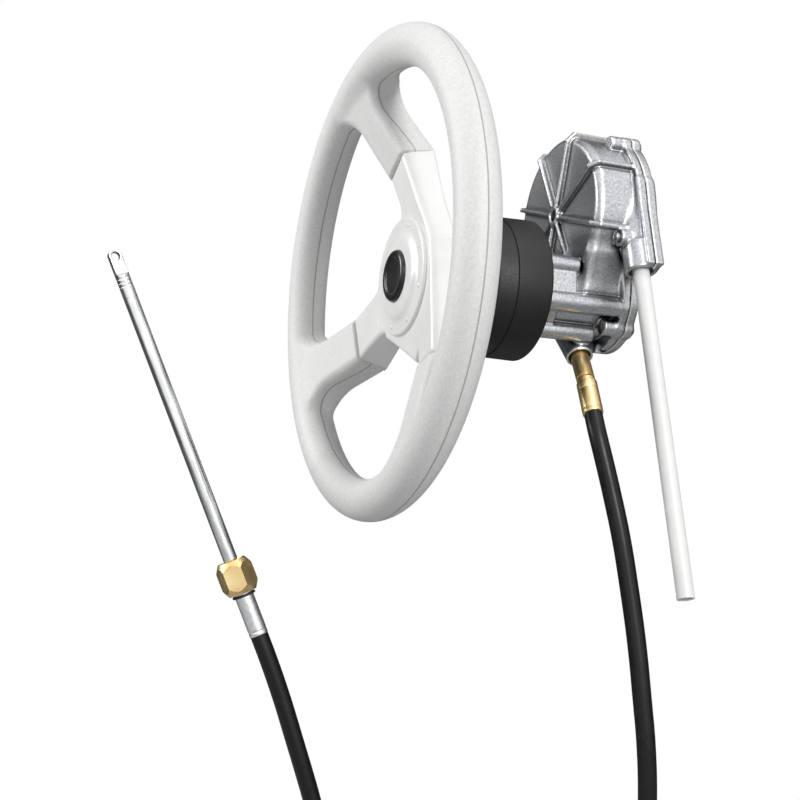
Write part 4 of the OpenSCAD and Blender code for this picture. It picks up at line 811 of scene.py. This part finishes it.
points, faces, way = netSurface(coverField, (-76, 69, -64), (88, 87, 136), cover["cell"])
meshPiece("gearbox_rear_cover", points, faces, castAluminium, "base", ["rear_cover"],
          marks=hollowAndEdge(coverField, points, way))
print("gearbox castings made")


# a screw is the radius and height of its head, the radius and end of its shank, and half its socket, or 0 for a slot
screws = {"cover": (3.8, 3.0, 2.0, -18.6, 1.7), "tube": (3.6, 3.5, 2.0, -9.4, 0), "ferrule": (3.4, 2.4, 1.8, -1.8, 0)}


# a domed head, less its slot or hexagon socket, joined with its shank; the head looks along +y
def screwParts(headRadius, headHeight, shankRadius, shankEnd, socket):
    def field(p):
        y, r = p[:, 1], np.hypot(p[:, 0], p[:, 2])
        head = np.maximum(r - headRadius, np.maximum(-y, y - headHeight + 0.055 * r * r * headHeight / headRadius))
        shape = join(head, np.maximum(r - shankRadius, np.maximum(y - 1, shankEnd - y)), 0.4)
        if socket:
            hexagon = np.maximum(np.abs(p[:, 2]), np.maximum(np.abs(p[:, 0] * 0.866 + p[:, 2] * 0.5),
                                                             np.abs(p[:, 0] * 0.866 - p[:, 2] * 0.5))) - socket
            return cut(shape, np.maximum(hexagon, headHeight * 0.35 - y), 0.15)
        slot = np.maximum(np.abs(p[:, 0]) - 0.55, headHeight * 0.5 - y)
        return cut(shape, slot, 0.15)
    return netSurface(field, (-headRadius - 0.6, shankEnd - 0.6, -headRadius - 0.6),
                      (headRadius + 0.6, headHeight + 0.6, headRadius + 0.6), 0.32)[:2]


points, faces = screwParts(*screws["cover"])
points, faces = joined([(points + np.array(at) + (0, cover["back"], 0), faces) for at in screwPlaces])
meshPiece("cover_socket_screws", points, faces, plainSteel, "base", ["cover_screws"], sharp=40)
points, faces = screwParts(*screws["tube"])
points = points * np.array((1, -1, 1)) + tubeScrewAt + (0, case["tubeScrewFace"], 0)  # its head looks along -y
meshPiece("tube_lock_screw", points, faces[:, ::-1], plainSteel, "base", ["tube_screw"], sharp=40)
points, faces = screwParts(*screws["ferrule"])
points = points + ferruleScrewAt + (0, case["ferruleScrewFace"], 0)
meshPiece("ferrule_lock_screw", points, faces, plainSteel, "base", ["ferrule_screw"], sharp=40)

# brass inlet: turned ferrule with a swivel ball, crimp sleeve on the cable; white spent tube beside them
ferrule = {"start": 78.4, "bore": 3.9, "seat": 6.3, "radius": 6.85, "ball": 6.8, "neck": 4.7}
f, ballAt = ferrule, inletLength + ferruleLength
profile = softened([(f["bore"], f["start"]), (f["seat"], f["start"]), (f["seat"], 98.8), (f["radius"], 99.2),
                    (f["radius"], 119.2)], [0.4, 0.6, 0, 0.2, 0], closed=False)
ball = [(f["ball"] * math.cos(t), ballAt + f["ball"] * math.sin(t)) for t in np.linspace(-0.39, 1.35, 18)]
profile = np.concatenate([profile, ball, [(0, 128.7)]])
neck = turned([(0, 3), (f["neck"], 3), (f["neck"], 12.6), (0, 12.6)], ferruleEnd, crimpWay, 48)
bore = turned([(f["bore"], f["start"]), (f["bore"], 118), (0, 118)], inletStart, inletWay, 48)
points, faces = joined([turned(profile, inletStart, inletWay, 72), neck, bore])
meshPiece("inlet_ferrule_brass", points, faces, turnedBrass, "base", ["inlet_ferrule"], sharp=40, merge=True)

crimp = {"radius": 7.55, "groove": 7.3, "rings": (8.0, 24.5), "neck": 4.75}
r, groove, cup, neck = crimp["radius"], crimp["groove"], ferrule["radius"], crimp["neck"]
profile = [(cup, 1.2), (7.2, 1.2), (r, 1.8)]  # its cup closes over the ferrule's ball
for at in crimp["rings"]:  # rolled crimp grooves
    profile += [(r, at - 0.5), (groove, at - 0.2), (groove, at + 0.2), (r, at + 0.5)]
profile += [(r, crimpLength - 0.5), (7.1, crimpLength), (0, crimpLength), (0, 12.8), (neck, 12.8), (neck, 7.2),
            (cup, 3.2)]
points, faces = turned(softened(profile, 0.35, bends=3), ferruleEnd, crimpWay, 72, closed=True)
meshPiece("cable_crimp_brass", points, faces, turnedBrass, "base", ["crimp_sleeve"], sharp=40, merge=True)

tube = {"radius": 6, "bore": 4.7, "start": 44.3, "end": 304}
profile = softened([(tube["bore"], tube["start"]), (tube["radius"], tube["start"]), (tube["radius"], tube["end"]),
                    (tube["bore"], tube["end"])], 0.3, bends=4)
points, faces = turned(profile, outletStart, outletWay, 64, closed=True)
meshPiece("spent_tube_white", points, faces, tubePolyethylene, "base", ["spent_tube"], sharp=40)
print("cable fittings made")

# solids whose shape is right as they are take a finish
cadFinishes = {"wheel_armature": paintedSteel, "wheel_hub": paintedSteel, "wheel_nut": plainSteel,
               "wheel_washer": plainSteel, "drive_key": plainSteel, "input_shaft": plainSteel, "pinion": plainSteel,
               "shaft_clip": paintedSteel, "bezel_plate": plainSteel, "bezel_screws": plainSteel,
               "front_bush": bushBronze, "rear_bush": bushBronze, "drum_bush": bushBronze, "drum_washer": bushBronze,
               "drum_gear": plainSteel, "drum_axle": plainSteel, "cover_gasket": gasketFibre, "core_wire": plainSteel,
               "seal_ring": sealRubber, "guide_tube": ramStainless, "ram_core": plainSteel}
for name, material in cadFinishes.items():
    nodes[name].data.materials.clear()
    nodes[name].data.materials.append(material)
print("solids finished:", len(cadFinishes))

# floor: pale disc under the coil that fades into the white background; reflections see it darker than the camera does,
# so that the metal keeps its contrast
floorSet = {"radius": 1.05, "fadeFrom": 0.75, "sides": 96, "tone": "#f4f4f4", "reflected": "#b0b0b0"}
floorZ = cadBounds[0].z
ringTurns = np.linspace(0, 2 * np.pi, floorSet["sides"], endpoint=False)
floorMesh = bpy.data.meshes.new("floor")
floorMesh.from_pydata([(floorSet["radius"] * math.cos(t), floorSet["radius"] * math.sin(t), floorZ) for t in ringTurns],
                      [], [list(range(floorSet["sides"]))])
floorMaterial, tree, shader, place = startMaterial("studio_floor_pale")
seen = addNode(tree, "ShaderNodeLightPath").outputs["Is Camera Ray"]
tone = addNode(tree, "ShaderNodeMix", {"data_type": "RGBA"},
               {0: seen, 6: linear(floorSet["reflected"]), 7: linear(floorSet["tone"])}).outputs[2]
tree.links.new(tone, shader.inputs["Base Color"])
shader.inputs["Roughness"].default_value = 0.9
reach = addNode(tree, "ShaderNodeVectorMath", {"operation": "LENGTH"}, {0: place}).outputs["Value"]
fade = addNode(tree, "ShaderNodeMapRange", {"interpolation_type": "SMOOTHSTEP"},
               {"Value": reach, "From Min": floorSet["fadeFrom"], "From Max": floorSet["radius"] + 0.06}).outputs[0]
clear = addNode(tree, "ShaderNodeBsdfTransparent")
mixed = addNode(tree, "ShaderNodeMixShader", None, {0: fade, 1: shader.outputs[0], 2: clear.outputs[0]})
tree.links.new(mixed.outputs[0], next(n for n in tree.nodes if n.type == "OUTPUT_MATERIAL").inputs["Surface"])
floorMesh.materials.append(floorMaterial)
floor = bpy.data.objects.new("floor", floorMesh)
bpy.context.scene.collection.objects.link(floor)

# white background for what the camera sees; metal sees it on the lit side and a darker room on the other
world = bpy.data.worlds.new("studio")
bpy.context.scene.world = world
world.use_nodes = True
tree = world.node_tree
tree.nodes.clear()
lightSet = {"ambient": 0.43, "tint": "#f2f4f6", "roomDark": 0.1, "roomLight": 1.35, "litSide": (0.80, -0.25, 0.55)}
path = addNode(tree, "ShaderNodeLightPath")
direction = addNode(tree, "ShaderNodeTexCoord").outputs["Generated"]
facing = addNode(tree, "ShaderNodeVectorMath", {"operation": "DOT_PRODUCT"},
                 {0: direction, 1: tuple(unit(lightSet["litSide"]))}).outputs["Value"]
room = addNode(tree, "ShaderNodeMapRange", {"interpolation_type": "SMOOTHSTEP"},
               {"Value": facing, "From Min": 0.02, "From Max": 0.6,
                "To Min": lightSet["roomDark"], "To Max": lightSet["roomLight"]}).outputs[0]
mirror = addNode(tree, "ShaderNodeMath", {"operation": "MAXIMUM"},
                 {0: path.outputs["Is Glossy Ray"], 1: path.outputs["Is Transmission Ray"]}).outputs[0]
soft = addNode(tree, "ShaderNodeBackground", None,
               {"Color": linear(lightSet["tint"]), "Strength": lightSet["ambient"]})
shown = addNode(tree, "ShaderNodeBackground", None, {"Color": linear("#ffffff"), "Strength": room})
white = addNode(tree, "ShaderNodeBackground", None, {"Color": linear("#ffffff"), "Strength": 1.0})
first = addNode(tree, "ShaderNodeMixShader", None, {0: mirror, 1: soft.outputs[0], 2: shown.outputs[0]})
second = addNode(tree, "ShaderNodeMixShader", None,
                 {0: path.outputs["Is Camera Ray"], 1: first.outputs[0], 2: white.outputs[0]})
addNode(tree, "ShaderNodeOutputWorld", None, {"Surface": second.outputs[0]})

# soft boxes: a narrow key from the right near the wheel's plane, a fill from the driver's upper left, and a small one
# from the upper right
lamps = {"key": {"from": (1.75, -0.11, 0.3), "size": (0.22, 0.9), "watts": 22},
         "fill": {"from": (-0.7, -1.7, 0.85), "size": (1.0, 1.0), "watts": 34},
         "top": {"from": (1.1, 0.3, 1.5), "size": (0.5, 0.5), "watts": 6}}
for name, lamp in lamps.items():
    data = bpy.data.lights.new(name, "AREA")
    data.shape = "RECTANGLE"
    data.size, data.size_y = lamp["size"]
    data.energy = lamp["watts"]
    light = bpy.data.objects.new(name, data)
    light.location = lamp["from"]
    light.rotation_mode = "QUATERNION"
    light.rotation_quaternion = (-Vector(lamp["from"])).to_track_quat("-Z", "Y")
    bpy.context.scene.collection.objects.link(light)
print("stage and lights set")
